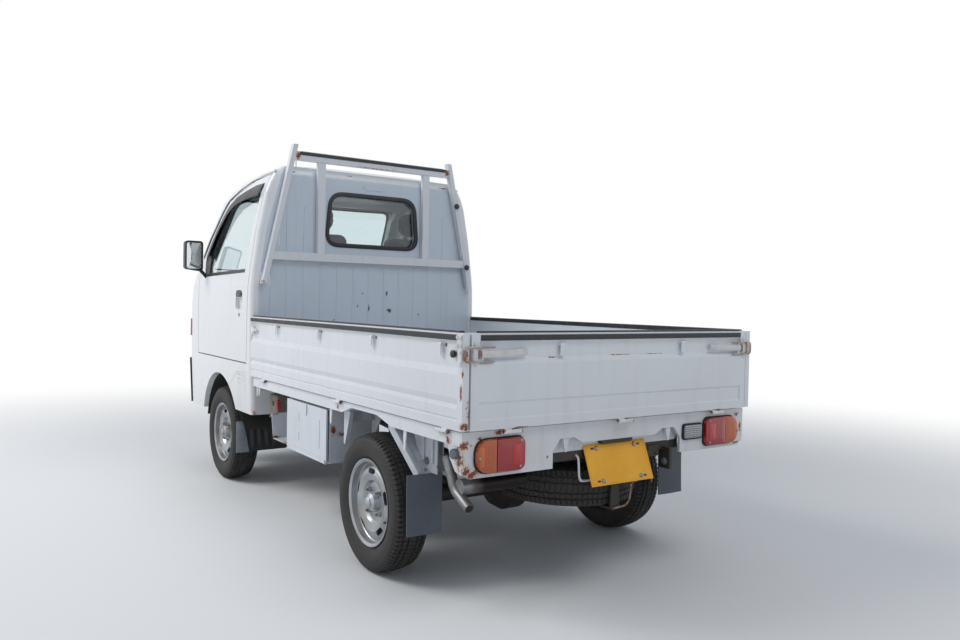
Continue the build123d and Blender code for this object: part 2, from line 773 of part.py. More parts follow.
lamp_depth = 20
lamp_outer_x = body_half_width - 61
lamp_inner_x = lamp_outer_x - 190
lamp_low_z = 502
lamp_high_z = 609
with BuildPart() as rear_lamps:
    for side in (-1, 1):
        with BuildSketch(Plane.XZ.offset(-skirt_y - lamp_depth)) as lens:
            with Locations((side * (lamp_inner_x + lamp_outer_x) / 2, (lamp_low_z + lamp_high_z) / 2)):
                RectangleRounded(lamp_outer_x - lamp_inner_x, lamp_high_z - lamp_low_z, 24)
        extrude(lens.sketch, amount=lamp_depth)
    with BuildSketch(Plane.XZ.offset(-skirt_y - 12)) as lens:
        with Locations((-376, 563)):
            RectangleRounded(102, 54, 10)
    extrude(lens.sketch, amount=12)
save(rear_lamps.part, "rear_lamps")

# Number plate: a blank sheet on two arms from the rear cross member
plate_width = 300
plate_top = (skirt_y - 26, 549)
plate_bottom = (skirt_y + 28, 411)
plate_thickness = 3
plate_lean = Vector(0, plate_bottom[0] - plate_top[0], plate_bottom[1] - plate_top[1]).normalized()
plate_out = Vector(0, -plate_lean.Z, plate_lean.Y)
with BuildPart() as number_plate:
    corners = [
        plate_top,
        plate_bottom,
        (plate_bottom[0] - plate_thickness * plate_out.Y, plate_bottom[1] - plate_thickness * plate_out.Z),
        (plate_top[0] - plate_thickness * plate_out.Y, plate_top[1] - plate_thickness * plate_out.Z),
    ]
    across(corners, 5 - plate_width / 2, 5 + plate_width / 2)
    for x in (-95, 105):
        across(((frame_rear_y, 540), (skirt_y - 24, 540), (skirt_y + 23.7, 418), (skirt_y + 17, 415),
                (skirt_y - 28, 528), (frame_rear_y, 528)), x - 9, x + 9)
save(number_plate.part, "number_plate")

# Guard frame behind the cab: two leaning posts, a top rail, a cross bar and two uprights
guard_depth = 38
guard_y = cab_rear_y + rib_height
post_low = (body_half_width - 45, 1120)
post_high = (body_half_width - 205, 1857)
post_width = 26
guard_top_z = (1776, 1822)
guard_bar_z = (1247, 1290)
upright_x = (303, 344)
with BuildPart() as guard_frame:
    lean = (post_low[0] - post_high[0]) / (post_high[1] - post_low[1])
    for side in (-1, 1):
        along([(side * x, z) for x, z in (
            (post_low[0], post_low[1]),
            (post_low[0] - post_width, post_low[1]),
            (post_high[0] - post_width, post_high[1]),
            post_high,
        )], guard_y, guard_y + guard_depth)
        low, high = sorted(side * x for x in upright_x)
        block((low, high), (guard_y, guard_y + guard_depth - 8), (guard_bar_z[1] - 1, guard_top_z[0] + 1))
        low, high = sorted((side * (post_low[0] - 22), side * post_low[0]))
        block((low, high), (cab_rear_y, guard_y + 2), (post_low[1], post_low[1] + 60))
    for low_z, high_z in (guard_top_z, guard_bar_z):
        reach = [post_low[0] - post_width / 2 - lean * (z - post_low[1]) for z in (low_z, high_z)]
        along(((-reach[0], low_z), (reach[0], low_z), (reach[1], high_z), (-reach[1], high_z)),
              guard_y, guard_y + guard_depth - 4)
save(guard_frame.part, "guard_frame")

# Tool box under the left of the bed, open at its face, with a tray ahead of it and a hinged lid
box_y = (rear_axle_y - 829, rear_axle_y - 375)
box_x = (body_half_width - 268, body_half_width - 32)
box_z = (348, 580)
box_wall = 4
lid_thickness = 8
lid_gap = 6
lid_inset = 40
lid_pin_radius = 5.7
box_middle = (box_y[0] + box_y[1]) / 2
emboss_z = 466
emboss_out = 118
emboss_upright = (84, 128)
emboss_bar = 56
emboss_height = 2
lid_hinge = (box_x[1] + lid_gap + lid_thickness / 2, box_z[0] + 2)
tray_front_y = box_y[0] - 253
with BuildPart() as tool_box:
    block(box_x, box_y, box_z)
    block((box_x[0] + box_wall, box_x[1] + 1), (box_y[0] + box_wall, box_y[1] - box_wall),
          (box_z[0] + box_wall, box_z[1] - box_wall), Mode.SUBTRACT)
    across(((tray_front_y, 474), (tray_front_y + 30, 353), (box_y[0], 353), (box_y[0], 357),
            (tray_front_y + 33, 357), (tray_front_y + 4, 474)), box_x[0], box_x[1])
    block((box_x[0], box_x[0] + 6), (tray_front_y + 4, box_y[0]), (357, 560))
    for y in (box_y[0] - 106, box_y[1] - 60):
        block((frame_half, box_x[0]), (y - 20, y + 20), (rail_high_z + 10, rail_high_z + 50))
    for low, high in ((box_y[0] + 10, box_y[0] + lid_inset - hinge_play),
                      (box_y[1] - lid_inset + hinge_play, box_y[1] - 10)):
        rod((lid_hinge[0], low, lid_hinge[1]), (lid_hinge[0], high, lid_hinge[1]), lid_pin_radius)
        block((box_x[1] - box_wall, lid_hinge[0]), (low, high), (lid_hinge[1], lid_hinge[1] + 5))
save(tool_box.part, "tool_box")

with BuildPart() as tool_box_lid:
    block((box_x[1] + lid_gap, box_x[1] + lid_gap + lid_thickness), box_y, (box_z[0] + 8, box_z[1] - 2))
    with BuildSketch(Plane.XZ.offset(lid_inset - box_y[1])) as barrel:
        with Locations(lid_hinge):
            Circle(lid_pin_radius)
        with Locations((lid_hinge[0], lid_hinge[1] + 10)):
            Rectangle(lid_thickness, 20)
    extrude(barrel.sketch, amount=box_y[1] - box_y[0] - 2 * lid_inset)
    with BuildSketch(Plane.YZ.offset(box_x[1] + lid_gap + lid_thickness - 1)) as embossing:
        with Locations(*[(box_middle + out, emboss_z) for out in (-emboss_out, emboss_out)]):
            RectangleRounded(*emboss_upright, 10)
        with Locations((box_middle, emboss_z)):
            Rectangle(2 * emboss_out, emboss_bar)
        with Locations((box_middle, box_z[0] + 26)):
            RectangleRounded(box_y[1] - box_y[0] - 30, 10, 4)
    extrude(embossing.sketch, amount=1 + emboss_height, taper=20)
    with BuildSketch(Plane.YZ.offset(box_x[1] + lid_gap + lid_thickness - 1)) as latch_tab:
        with Locations((box_middle, box_z[1] - 28)):
            RectangleRounded(30, 48, 8)
    extrude(latch_tab.sketch, amount=6)
save(tool_box_lid.part, "tool_box_lid")

# Fuel tank on the right
tank_rear_y = rear_axle_y - 375
tank_length = 640
tank_size = (250, 210)
tank_place = (52 + tank_size[0] / 2 - body_half_width, 445)
strap_ys = (tank_rear_y - 500, tank_rear_y - 140)
with BuildPart() as fuel_tank:
    with BuildSketch(Plane.XZ.offset(-tank_rear_y)) as section:
        with Locations(tank_place):
            RectangleRounded(*tank_size, 40)
    extrude(section.sketch, amount=tank_length)
    for y in strap_ys:
        block((tank_place[0] + 85, -frame_half), (y - 18, y + 18), (rail_high_z + 10, rail_high_z + 40))
save(fuel_tank.part, "fuel_tank")

# Exhaust: a pipe back to a cross-wise box, and the bent tail pipe at the left corner
pipe_radius = 18
can_radius = 27
exhaust_x = frame_half + 70
exhaust_z = 432
can_y = frame_rear_y - 95
tail_x = body_half_width - 92
with BuildPart() as exhaust:
    pipe(((150, -430, 385), (150, -300, 385), (exhaust_x, -60, exhaust_z), (exhaust_x, can_y, exhaust_z)),
         60, pipe_radius)
    rod((exhaust_x - 60, can_y, exhaust_z), (tail_x + 4, can_y, exhaust_z), can_radius)
    pipe(((tail_x, can_y - 87, 520), (tail_x, can_y - 34, 415), (tail_x, can_y + 55, 371)), 70, pipe_radius)
save(exhaust.part, "exhaust")

# Rear axle with its springs and the drive shaft to the engine
drum_radius = 100
spring_half = 20
spring_x = frame_half - frame_width / 2
hub_face_x = track / 2 - 8
stub_end_x = track / 2 + 39.7
axle_tube_radius = 35
axle_profile = (
    # out from the middle, radius: differential, tube, brake drum, stub
    (36, 104), (78, 80), (108, axle_tube_radius), (track / 2 - 100, axle_tube_radius),
    (track / 2 - 100, drum_radius), (hub_face_x - 10, drum_radius), (hub_face_x - 10, stub_radius),
    (stub_end_x, stub_radius), (stub_end_x, 0),
)
with BuildPart() as rear_axle:
    with BuildSketch(Plane(origin=(0, rear_axle_y, tyre_radius), x_dir=(1, 0, 0), z_dir=(0, -1, 0))):
        with BuildLine() as outline:
            Polyline(*[(-x, r) for x, r in reversed(axle_profile)], *axle_profile, close=True)
        make_face(outline.edges())
    revolve(axis=Axis((0, rear_axle_y, tyre_radius), (1, 0, 0)), revolution_arc=360)
    rod((0, -430, 395), (0, -388, 395), 34)
    rod((0, -404, 395), (0, rear_axle_y - 70, tyre_radius + 8), 22)
    for side in (-1, 1):
        with BuildSketch(Plane.YZ.offset(side * spring_x - spring_half)) as leaf:
            with BuildLine():
                ThreePointArc((rear_axle_y - 500, 486), (rear_axle_y, 288), (rear_axle_y + 500, 486))
                Line((rear_axle_y + 500, 486), (rear_axle_y + 500, 500))
                ThreePointArc((rear_axle_y + 500, 500), (rear_axle_y, 318), (rear_axle_y - 500, 500))
                Line((rear_axle_y - 500, 500), (rear_axle_y - 500, 486))
            make_face()
        extrude(leaf.sketch, amount=2 * spring_half)
save(rear_axle.part, "rear_axle")

# Front suspension: an arm to each knuckle; the knuckle carries the strut and the stub.
# The arm's end and the knuckle's foot meet square to the leaning steering axis.
king_x = track / 2 - 55
arm_z = 150
arm_thickness = 18
knuckle_low_z = 187
strut_top = (king_x - 90, tyre_radius + arch_radius - 10)
strut_low = (king_x + 10, knuckle_low_z)
strut_radius = 20
spring_radius = 36
spring_low_z = 484
carrier_hub_radius = 66


def on_strut(side, z):
    """The point at height z on the leaning steering axis."""
    share = (z - strut_low[1]) / (strut_top[1] - strut_low[1])
    return (side * (strut_low[0] + share * (strut_top[0] - strut_low[0])), front_axle_y, z)


with BuildPart() as front_suspension:
    for side in (-1, 1):
        with BuildSketch(Plane.XY.offset(arm_z)) as arm:
            with BuildLine():
                Polyline(
                    (side * (frame_half - 30), front_axle_y - 90),
                    (side * (king_x + 24), front_axle_y - 22),
                    (side * (king_x + 24), front_axle_y + 22),
                    (side * (frame_half - 30), front_axle_y + 50),
                    close=True,
                )
            make_face()
        extrude(arm.sketch, amount=arm_thickness)
        rod(on_strut(side, arm_z + 6), on_strut(side, knuckle_low_z - bore_clearance), strut_radius)
        low, high = sorted((side * (frame_half - 50), side * (frame_half - 10)))
        block((low, high), (front_axle_y - 65, front_axle_y + 25), (arm_z, 310))
save(front_suspension.part, "front_suspension")

for side, name in ((1, "left"), (-1, "right")):
    with BuildPart() as knuckle:
        rod(on_strut(side, knuckle_low_z), on_strut(side, strut_top[1]), strut_radius)
        rod(on_strut(side, spring_low_z), on_strut(side, strut_top[1] - 12), spring_radius)
        rod((side * (king_x - 20), front_axle_y, tyre_radius),
            (side * stub_end_x, front_axle_y, tyre_radius), stub_radius)
        rod((side * (king_x - 8), front_axle_y, tyre_radius),
            (side * (hub_face_x - 25), front_axle_y, tyre_radius), carrier_hub_radius - 6)
        rod((side * (hub_face_x - 25), front_axle_y, tyre_radius),
            (side * (hub_face_x - 10), front_axle_y, tyre_radius), carrier_hub_radius)
    save(knuckle.part, f"knuckle_{name}")

# Wheels: pressed steel disc in a rolled rim, and the tyre on it
rim_profile = (
    # along the axle outwards, radius
    (-62, 168), (-56, 168), (-54, 160), (-30, 158), (-20, 148), (20, 148), (30, 158),
    (54, 160), (56, 168), (62, 168), (62, 165), (57, 155), (34, 153), (24, 143),
    (-24, 143), (-34, 153), (-57, 155), (-62, 165),
)
disc_profile = (
    # outer face from the rim to the axle, then back along the inner face
    (30, 151), (44, 128), (48, 112), (40, 84), (27, 74), (27, 40), (50, 34), (58, 22), (58, 0),
    (40, 0), (40, bore_clearance + stub_radius), (-8, bore_clearance + stub_radius), (-8, 60),
    (21, 60), (21, 76), (34, 88), (42, 112), (38, 124), (24, 145),
)
bead_radius = 160.3
bead_top = 169
vent_count = 5
lug_count = 4
lug_circle = 57
wheel_places = (
    ("front_left", 1, front_axle_y),
    ("front_right", -1, front_axle_y),
    ("rear_left", 1, rear_axle_y),
    ("rear_right", -1, rear_axle_y),
)


def wheel_axes(side, axle_y):
    """A plane through the wheel's middle with its first axis outwards along the axle."""
    return Plane(origin=(side * track / 2, axle_y, tyre_radius), x_dir=(side, 0, 0), z_dir=(0, -side, 0))


def tyre_section():
    """Half a tyre cut through, beads at the rim and a round-shouldered tread."""
    half = tyre_width / 2
    with BuildLine() as outline:
        Polyline((-46, bead_radius), (-53, bead_radius), (-53, bead_top))
        ThreePointArc((-53, bead_top), (-half, 214), (-61, 256))
        ThreePointArc((-61, 256), (0, tyre_radius), (61, 256))
        ThreePointArc((61, 256), (half, 214), (53, bead_top))
        Polyline((53, bead_top), (53, bead_radius), (46, bead_radius))
        Polyline((46, bead_radius), (63, 212), (52, 247), (-52, 247), (-63, 212), (-46, bead_radius))
    make_face(outline.edges())


def rim_section():
    """The rolled rim and the pressed disc cut through."""
    for points in (rim_profile, disc_profile):
        with BuildLine() as outline:
            Polyline(*points, close=True)
        make_face(outline.edges())


for name, side, axle_y in wheel_places:
    plane = wheel_axes(side, axle_y)
    spin = Axis(plane.origin, plane.x_dir)
    with BuildPart() as tyre:
        with BuildSketch(plane):
            tyre_section()
        revolve(axis=spin, revolution_arc=360)
    save(tyre.part, f"tyre_{name}")
    with BuildPart() as rim:
        with BuildSketch(plane):
            rim_section()
        revolve(axis=spin, revolution_arc=360)
        face = Plane(origin=plane.origin, x_dir=(0, 0, 1), z_dir=plane.x_dir)
        with BuildSketch(face.offset(20)) as vents:
            with PolarLocations(120, vent_count):
                SlotOverall(52, 20, rotation=90)
        extrude(vents.sketch, amount=40, mode=Mode.SUBTRACT)
        with BuildSketch(face.offset(26)) as nuts:
            with PolarLocations(lug_circle, lug_count, start_angle=45):
                RegularPolygon(11, 6)
        extrude(nuts.sketch, amount=16)
    save(rim.part, f"rim_{name}")

# Spare wheel, flat under the tail, on the carrier bar
spare_y = frame_rear_y - 268
spare_z = 384
spare_plane = Plane(origin=(0, spare_y, spare_z), x_dir=(0, 0, -1), z_dir=(1, 0, 0))
with BuildPart() as spare_tyre:
    with BuildSketch(spare_plane):
        tyre_section()
    revolve(axis=Axis(spare_plane.origin, spare_plane.x_dir), revolution_arc=360)
save(spare_tyre.part, "spare_tyre")
with BuildPart() as spare_rim:
    with BuildSketch(spare_plane):
        rim_section()
    revolve(axis=Axis(spare_plane.origin, spare_plane.x_dir), revolution_arc=360)
save(spare_rim.part, "spare_rim")
carrier_top_z = spare_z - tyre_width / 2 - bore_clearance
carrier_low_z = carrier_top_z - 8
carrier_front_y = spare_y - tyre_radius - 14
carrier_rear_y = frame_rear_y + 10
with BuildPart() as spare_carrier:
    across(((carrier_front_y, rail_high_z), (carrier_front_y, carrier_low_z),
            (carrier_rear_y, carrier_low_z), (carrier_rear_y, 420), (frame_rear_y - 30, rail_high_z),
            (frame_rear_y - 38, rail_high_z), (carrier_rear_y - 8, 418), (carrier_rear_y - 8, carrier_top_z),
            (carrier_front_y + 8, carrier_top_z), (carrier_front_y + 8, rail_high_z)),
           -carrier_half, carrier_half)
save(spare_carrier.part, "spare_carrier")

# Rear fender panels inboard of the wheels with upright ribs, the closing panels behind the wheels,
# and the struts that hold them
splash_x = track / 2 - 94
splash_line = (
    # back from the axle, z
    (-275, rail_bottom_z), (-275, 440), (-190, 560), (165, 560), (300, 470), (300, rail_bottom_z),
)
closing_line = ((214, rail_bottom_z), (250, 520), (334, 441), (395, 441), (395, rail_bottom_z))
strut_line = (
    (127, rail_bottom_z), (127, 570), (327, 428), (355, 428), (355, 444), (165, 584), (165, rail_bottom_z),
)
fore_strut_line = ((-262, rail_bottom_z), (-262, 452), (-250, 452), (-205, 584), (-205, rail_bottom_z))
splash_ribs = (-262, -226, 208, 262)
closing_ribs = (300, 362)
shelf_line = ((152, rail_bottom_z), (152, 572), (342, 434), (355, 434), (355, 440), (164, 578),
              (164, rail_bottom_z))
with BuildPart() as rear_fenders:
    for side in (-1, 1):
        for line, inner_x, outer_x in (
            # outline, its inner and outer distance from the middle
            (splash_line, splash_x, splash_x + 4),
            (shelf_line, splash_x, rail_face - 40),
            (closing_line, track / 2 - 12, track / 2 - 8),
            (strut_line, rail_face - 52, rail_face - 36),
            (fore_strut_line, rail_face - 52, rail_face - 36),
        ):
            low, high = sorted((side * inner_x, side * outer_x))
            across([(rear_axle_y + back, z) for back, z in line], low, high)
        low, high = sorted((side * splash_x, side * (rail_face - 40)))
        block((low, high), (rear_axle_y - 262, rear_axle_y - 258), (540, rail_bottom_z))
        for back in splash_ribs:
            low, high = sorted((side * (splash_x + 3), side * (splash_x + 10)))
            block((low, high), (rear_axle_y + back, rear_axle_y + back + 14), (570, rail_bottom_z))
        for back in closing_ribs:
            low, high = sorted((side * (track / 2 - 9), side * (track / 2 - 2)))
            block((low, high), (rear_axle_y + back, rear_axle_y + back + 12), (478, rail_bottom_z))
save(rear_fenders.part, "rear_fenders")

flap_thickness = 4
rear_flap_y = rear_axle_y + 355.3
rear_flap_x = (track / 2 - 52, track / 2 + 90)
rear_flap_z = (227, 440)
front_flap_y = -619.3
front_flap_outline = (
    # out from the middle, z
    (track / 2 + 88, 202), (track / 2 - 195, 205), (track / 2 - 172, 326), (track / 2 + 88, 326),
)
with BuildPart() as mud_flaps:
    for side in (-1, 1):
        low, high = sorted(side * x for x in rear_flap_x)
        block((low, high), (rear_flap_y, rear_flap_y + flap_thickness), rear_flap_z)
        along([(side * x, z) for x, z in front_flap_outline], front_flap_y, front_flap_y + flap_thickness)
save(mud_flaps.part, "mud_flaps")
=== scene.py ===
from math import cos, pi, radians, sin

import bmesh
import bpy
import numpy as np
from mathutils import Matrix, Vector


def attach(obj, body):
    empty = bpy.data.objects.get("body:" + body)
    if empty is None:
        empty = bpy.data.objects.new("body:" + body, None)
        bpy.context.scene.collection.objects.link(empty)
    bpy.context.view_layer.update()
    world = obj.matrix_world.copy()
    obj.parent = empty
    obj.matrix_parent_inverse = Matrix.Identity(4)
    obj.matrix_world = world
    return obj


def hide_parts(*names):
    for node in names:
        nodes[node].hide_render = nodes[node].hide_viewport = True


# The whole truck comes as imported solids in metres: +X is its left side, +Y its rear, +Z up.
# Each section below dresses a group of them or adds the pieces that the group carries.
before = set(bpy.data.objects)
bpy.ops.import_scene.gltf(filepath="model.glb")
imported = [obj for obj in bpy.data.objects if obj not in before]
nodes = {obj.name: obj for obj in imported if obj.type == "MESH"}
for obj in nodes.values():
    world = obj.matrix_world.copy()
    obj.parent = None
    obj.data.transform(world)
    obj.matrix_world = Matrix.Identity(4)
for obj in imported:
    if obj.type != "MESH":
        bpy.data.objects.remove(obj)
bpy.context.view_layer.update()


# Camera: a 30 mm lens at chest level behind the left rear corner, leaning one degree to the side. Its
# place and angles are those that put the truck's edges where the photograph has them.
camera_place = Vector((2.0379, 3.7088, 1.0453))
camera_yaw, camera_pitch, camera_roll = radians(214.176), radians(-1.288), radians(1.089)
focal_pixels, photo_width = 801.74, 960.0
camera_data = bpy.data.cameras.new("camera")
camera_data.sensor_width = 36.0
camera_data.lens = camera_data.sensor_width * focal_pixels / photo_width
camera = bpy.data.objects.new("camera", camera_data)
bpy.context.scene.collection.objects.link(camera)
ahead = Vector((sin(camera_yaw) * cos(camera_pitch), cos(camera_yaw) * cos(camera_pitch), sin(camera_pitch)))
level = Vector((cos(camera_yaw), -sin(camera_yaw), 0.0))
upright = level.cross(ahead)
across = cos(camera_roll) * level + sin(camera_roll) * upright
upwards = cos(camera_roll) * upright - sin(camera_roll) * level
turn = Matrix((across, upwards, -ahead)).transposed().to_4x4()
camera.matrix_world = Matrix.Translation(camera_place) @ turn
bpy.context.scene.camera = camera


# Studio: a white surround that lights evenly, one broad soft lamp on the left side, a weak one behind,
# and a smooth pale floor that keeps the shadow near the truck and fades into the white further out.
def hex_colour(text, alpha=1.0):
    """The linear colour of an sRGB hex value: the curve of the sRGB standard, channel by channel."""
    channels = np.array([int(text[i:i + 2], 16) for i in (1, 3, 5)]) / 255.0
    linear = np.where(channels <= 0.04045, channels / 12.92, ((channels + 0.055) / 1.055) ** 2.4)
    return (*linear.tolist(), alpha)


def add_node(tree, kind, inputs=None, **settings):
    """Adds one node: settings are its own properties, inputs are values or links for its sockets."""
    node = tree.nodes.new(kind)
    for key, value in settings.items():
        setattr(node, key, value)
    for key, value in (inputs or {}).items():
        if isinstance(value, bpy.types.NodeSocket):
            tree.links.new(value, node.inputs[key])
        else:
            node.inputs[key].default_value = value
    return node


def background_rays(tree):
    """1 for the rays that see the white surround: the camera's, and those in polish, metal and glass."""
    rays = add_node(tree, "ShaderNodeLightPath")
    seen = add_node(tree, "ShaderNodeMath", {0: rays.outputs["Is Camera Ray"],
                                             1: rays.outputs["Is Glossy Ray"]}, operation="MAXIMUM")
    return add_node(tree, "ShaderNodeMath", {0: seen.outputs[0], 1: rays.outputs["Is Transmission Ray"]},
                    operation="MAXIMUM").outputs[0]


surround_strength = 0.42
world = bpy.data.worlds.new("studio")
bpy.context.scene.world = world
world.use_nodes = True
sky = world.node_tree
sky.nodes.clear()
seen = background_rays(sky)
strength = add_node(sky, "ShaderNodeMapRange", {"Value": seen, "To Min": surround_strength, "To Max": 1.0})
tint = add_node(sky, "ShaderNodeMix", {0: seen, 6: hex_colour("#E4EEFC"), 7: hex_colour("#FFFFFF")},
                data_type="RGBA")
surround = add_node(sky, "ShaderNodeBackground", {"Color": tint.outputs[2], "Strength": strength.outputs[0]})
add_node(sky, "ShaderNodeOutputWorld", {"Surface": surround.outputs[0]})

lamps = (
    # name, place, aim, width, height, power
    ("side_lamp", (5.2, -2.4, 5.6), (0.0, 0.2, 0.7), 4.0, 3.0, 270.0),
    ("rear_lamp", (-0.8, 4.6, 5.6), (0.0, 1.0, 0.7), 3.0, 2.4, 72.0),
)
for name, place, aim, width, height, power in lamps:
    lamp_data = bpy.data.lights.new(name, "AREA")
    lamp_data.shape = "RECTANGLE"
    lamp_data.size = width
    lamp_data.size_y = height
    lamp_data.energy = power
    lamp = bpy.data.objects.new(name, lamp_data)
    lamp.location = place
    lamp.rotation_euler = (Vector(aim) - Vector(place)).to_track_quat("-Z", "Y").to_euler()
    bpy.context.scene.collection.objects.link(lamp)

floor_reach = 60.0
fade_from, fade_to = 2.4, 6.5
floor_mesh = bpy.data.meshes.new("studio_floor")
floor_mesh.from_pydata([(-floor_reach, -floor_reach, 0), (floor_reach, -floor_reach, 0),
                        (floor_reach, floor_reach, 0), (-floor_reach, floor_reach, 0)], [], [(0, 1, 2, 3)])
floor = bpy.data.objects.new("studio_floor", floor_mesh)
bpy.context.scene.collection.objects.link(floor)
pale_floor = bpy.data.materials.new("pale_painted_floor")
pale_floor.use_nodes = True
tree = pale_floor.node_tree
paint = tree.nodes["Principled BSDF"]
paint.inputs["Base Color"].default_value = hex_colour("#EFEFEE")
paint.inputs["Roughness"].default_value = 0.8
where = add_node(tree, "ShaderNodeTexCoord").outputs["Object"]
reach = add_node(tree, "ShaderNodeVectorMath", {0: where}, operation="LENGTH").outputs["Value"]
fade = add_node(tree, "ShaderNodeMapRange", {"Value": reach, "From Min": fade_from, "From Max": fade_to},
                interpolation_type="SMOOTHSTEP")
white = add_node(tree, "ShaderNodeMath", {0: background_rays(tree), 1: fade.outputs[0]},
                 operation="MULTIPLY")
glow = add_node(tree, "ShaderNodeEmission", {"Strength": 1.0})
both = add_node(tree, "ShaderNodeMixShader", {0: white.outputs[0], 1: paint.outputs[0], 2: glow.outputs[0]})
tree.links.new(both.outputs[0], tree.nodes["Material Output"].inputs["Surface"])
floor_mesh.materials.append(pale_floor)


# Cab panels: deep-drawn steel sheet, spot-welded and dipped, under a thick white baked enamel.
# The enamel has gone a little chalky, road dust lies low on it, and rust breaks out at edges.
def new_finish(name):
    """A new material, its node tree, its shader, and the place in metres that its patterns read."""
    material = bpy.data.materials.new(name)
    material.use_nodes = True
    tree = material.node_tree
    place = add_node(tree, "ShaderNodeTexCoord").outputs["Object"]
    return material, tree, tree.nodes["Principled BSDF"], place


def enamel(name, colour, dirt_and_shade="#A89C8B", roughness=0.3, dirt_and_shade_amount=0.5, spots=(),
           worn=("#2C150C", "#A4582A", "#D08A4A")):
    """White baked enamel. To the eye: soft gloss over faint orange peel 4 mm apart, dust that thickens
    downwards, rain streaks 40 mm wide, and near each spot (x, y, z, reach along x, y, z in millimetres)
    wear in 12 mm flakes at its middle, between the first two worn colours, that bleeds the third one
    around it. A spot's strength falls straight from 1 at its middle to 0 at its reach."""
    # The dirt colour darkens the enamel downwards: on the back wall it is painted shade, elsewhere dust.
    material, tree, shader, place = new_finish(name)
    height = add_node(tree, "ShaderNodeSeparateXYZ", {0: place}).outputs[2]
    patches = add_node(tree, "ShaderNodeTexNoise", {"Vector": place, "Scale": 2.2, "Detail": 4.0})
    runs = add_node(tree, "ShaderNodeMapping", {"Vector": place, "Scale": (9.0, 9.0, 0.8)})
    streaks = add_node(tree, "ShaderNodeTexNoise", {"Vector": runs.outputs[0], "Scale": 3.0, "Detail": 4.0})
    low = add_node(tree, "ShaderNodeMapRange", {"Value": height, "From Min": 1.0, "From Max": 0.36})
    patchy = add_node(tree, "ShaderNodeMapRange", {"Value": patches.outputs[0], "From Min": 0.35,
                                                   "From Max": 0.75, "To Max": dirt_and_shade_amount})
    low_dust_and_shade = add_node(tree, "ShaderNodeMath", {0: low.outputs[0], 1: patchy.outputs[0]}, operation="MULTIPLY")
    wept = add_node(tree, "ShaderNodeMapRange", {"Value": streaks.outputs[0], "From Min": 0.52,
                                                 "From Max": 0.95, "To Max": 0.5 * dirt_and_shade_amount})
    grime_and_shade = add_node(tree, "ShaderNodeMath", {0: low_dust_and_shade.outputs[0], 1: wept.outputs[0]}, operation="ADD")
    base = add_node(tree, "ShaderNodeMix", {0: grime_and_shade.outputs[0], 6: hex_colour(colour), 7: hex_colour(dirt_and_shade)},
                    data_type="RGBA").outputs[2]
    peel = add_node(tree, "ShaderNodeTexNoise", {"Vector": place, "Scale": 240.0, "Detail": 2.0})
    bump = add_node(tree, "ShaderNodeBump", {"Height": peel.outputs[0], "Strength": 0.06,
                                             "Distance": 0.0004})
    shader.inputs["Roughness"].default_value = roughness
    if spots:
        nearness = None
        for x, y, z, reach_x, reach_y, reach_z in spots:
            away = add_node(tree, "ShaderNodeVectorMath", {0: place, 1: (x / 1000, y / 1000, z / 1000)},
                            operation="SUBTRACT")
            away = add_node(tree, "ShaderNodeVectorMath",
                            {0: away.outputs[0], 1: (1000 / reach_x, 1000 / reach_y, 1000 / reach_z)},
                            operation="MULTIPLY")
            away = add_node(tree, "ShaderNodeVectorMath", {0: away.outputs[0]}, operation="LENGTH")
            near = add_node(tree, "ShaderNodeMapRange", {"Value": away.outputs["Value"], "From Min": 1.0,
                                                         "From Max": 0.0})
            if nearness is None:
                nearness = near.outputs[0]
            else:
                nearness = add_node(tree, "ShaderNodeMath", {0: near.outputs[0], 1: nearness},
                                    operation="MAXIMUM").outputs[0]
        flakes = add_node(tree, "ShaderNodeTexNoise", {"Vector": place, "Scale": 85.0, "Detail": 6.0,
                                                       "Roughness": 0.68}).outputs[0]
        stains = add_node(tree, "ShaderNodeTexNoise", {"Vector": place, "Scale": 34.0, "Detail": 3.0})
        eaten = add_node(tree, "ShaderNodeMath", {0: nearness, 1: 0.5}, operation="MULTIPLY")
        eaten = add_node(tree, "ShaderNodeMath", {0: eaten.outputs[0], 1: flakes}, operation="ADD")
        rust = add_node(tree, "ShaderNodeMapRange", {"Value": eaten.outputs[0], "From Min": 0.72,
                                                     "From Max": 0.84}).outputs[0]
        soft = add_node(tree, "ShaderNodeMapRange", {"Value": nearness, "From Min": 0.1, "From Max": 0.9})
        wet = add_node(tree, "ShaderNodeMapRange", {"Value": stains.outputs[0], "From Min": 0.38,
                                                    "From Max": 0.68, "To Max": 0.95})
        bleed = add_node(tree, "ShaderNodeMath", {0: soft.outputs[0], 1: wet.outputs[0]},
                         operation="MULTIPLY")
        base = add_node(tree, "ShaderNodeMix", {0: bleed.outputs[0], 6: base, 7: hex_colour(worn[2])},
                        data_type="RGBA").outputs[2]
        scale = add_node(tree, "ShaderNodeMix", {0: flakes, 6: hex_colour(worn[0]), 7: hex_colour(worn[1])},
                         data_type="RGBA").outputs[2]
        base = add_node(tree, "ShaderNodeMix", {0: rust, 6: base, 7: scale}, data_type="RGBA").outputs[2]
        rough = add_node(tree, "ShaderNodeMapRange", {"Value": rust, "To Min": roughness, "To Max": 0.9})
        tree.links.new(rough.outputs[0], shader.inputs["Roughness"])
        pitted = add_node(tree, "ShaderNodeMath", {0: rust, 1: flakes}, operation="MULTIPLY")
        bump = add_node(tree, "ShaderNodeBump", {"Height": pitted.outputs[0], "Strength": 0.5,
                                                 "Distance": 0.0015, "Normal": bump.outputs[0]})
    tree.links.new(bump.outputs[0], shader.inputs["Normal"])
    tree.links.new(base, shader.inputs["Base Color"])
    shader.inputs["Coat Weight"].default_value = 0.3
    shader.inputs["Coat Roughness"].default_value = 0.15
    return material


def dress(material, *names):
    """Gives CAD nodes their finish."""
    for name in names:
        nodes[name].data.materials.clear()
        nodes[name].data.materials.append(material)


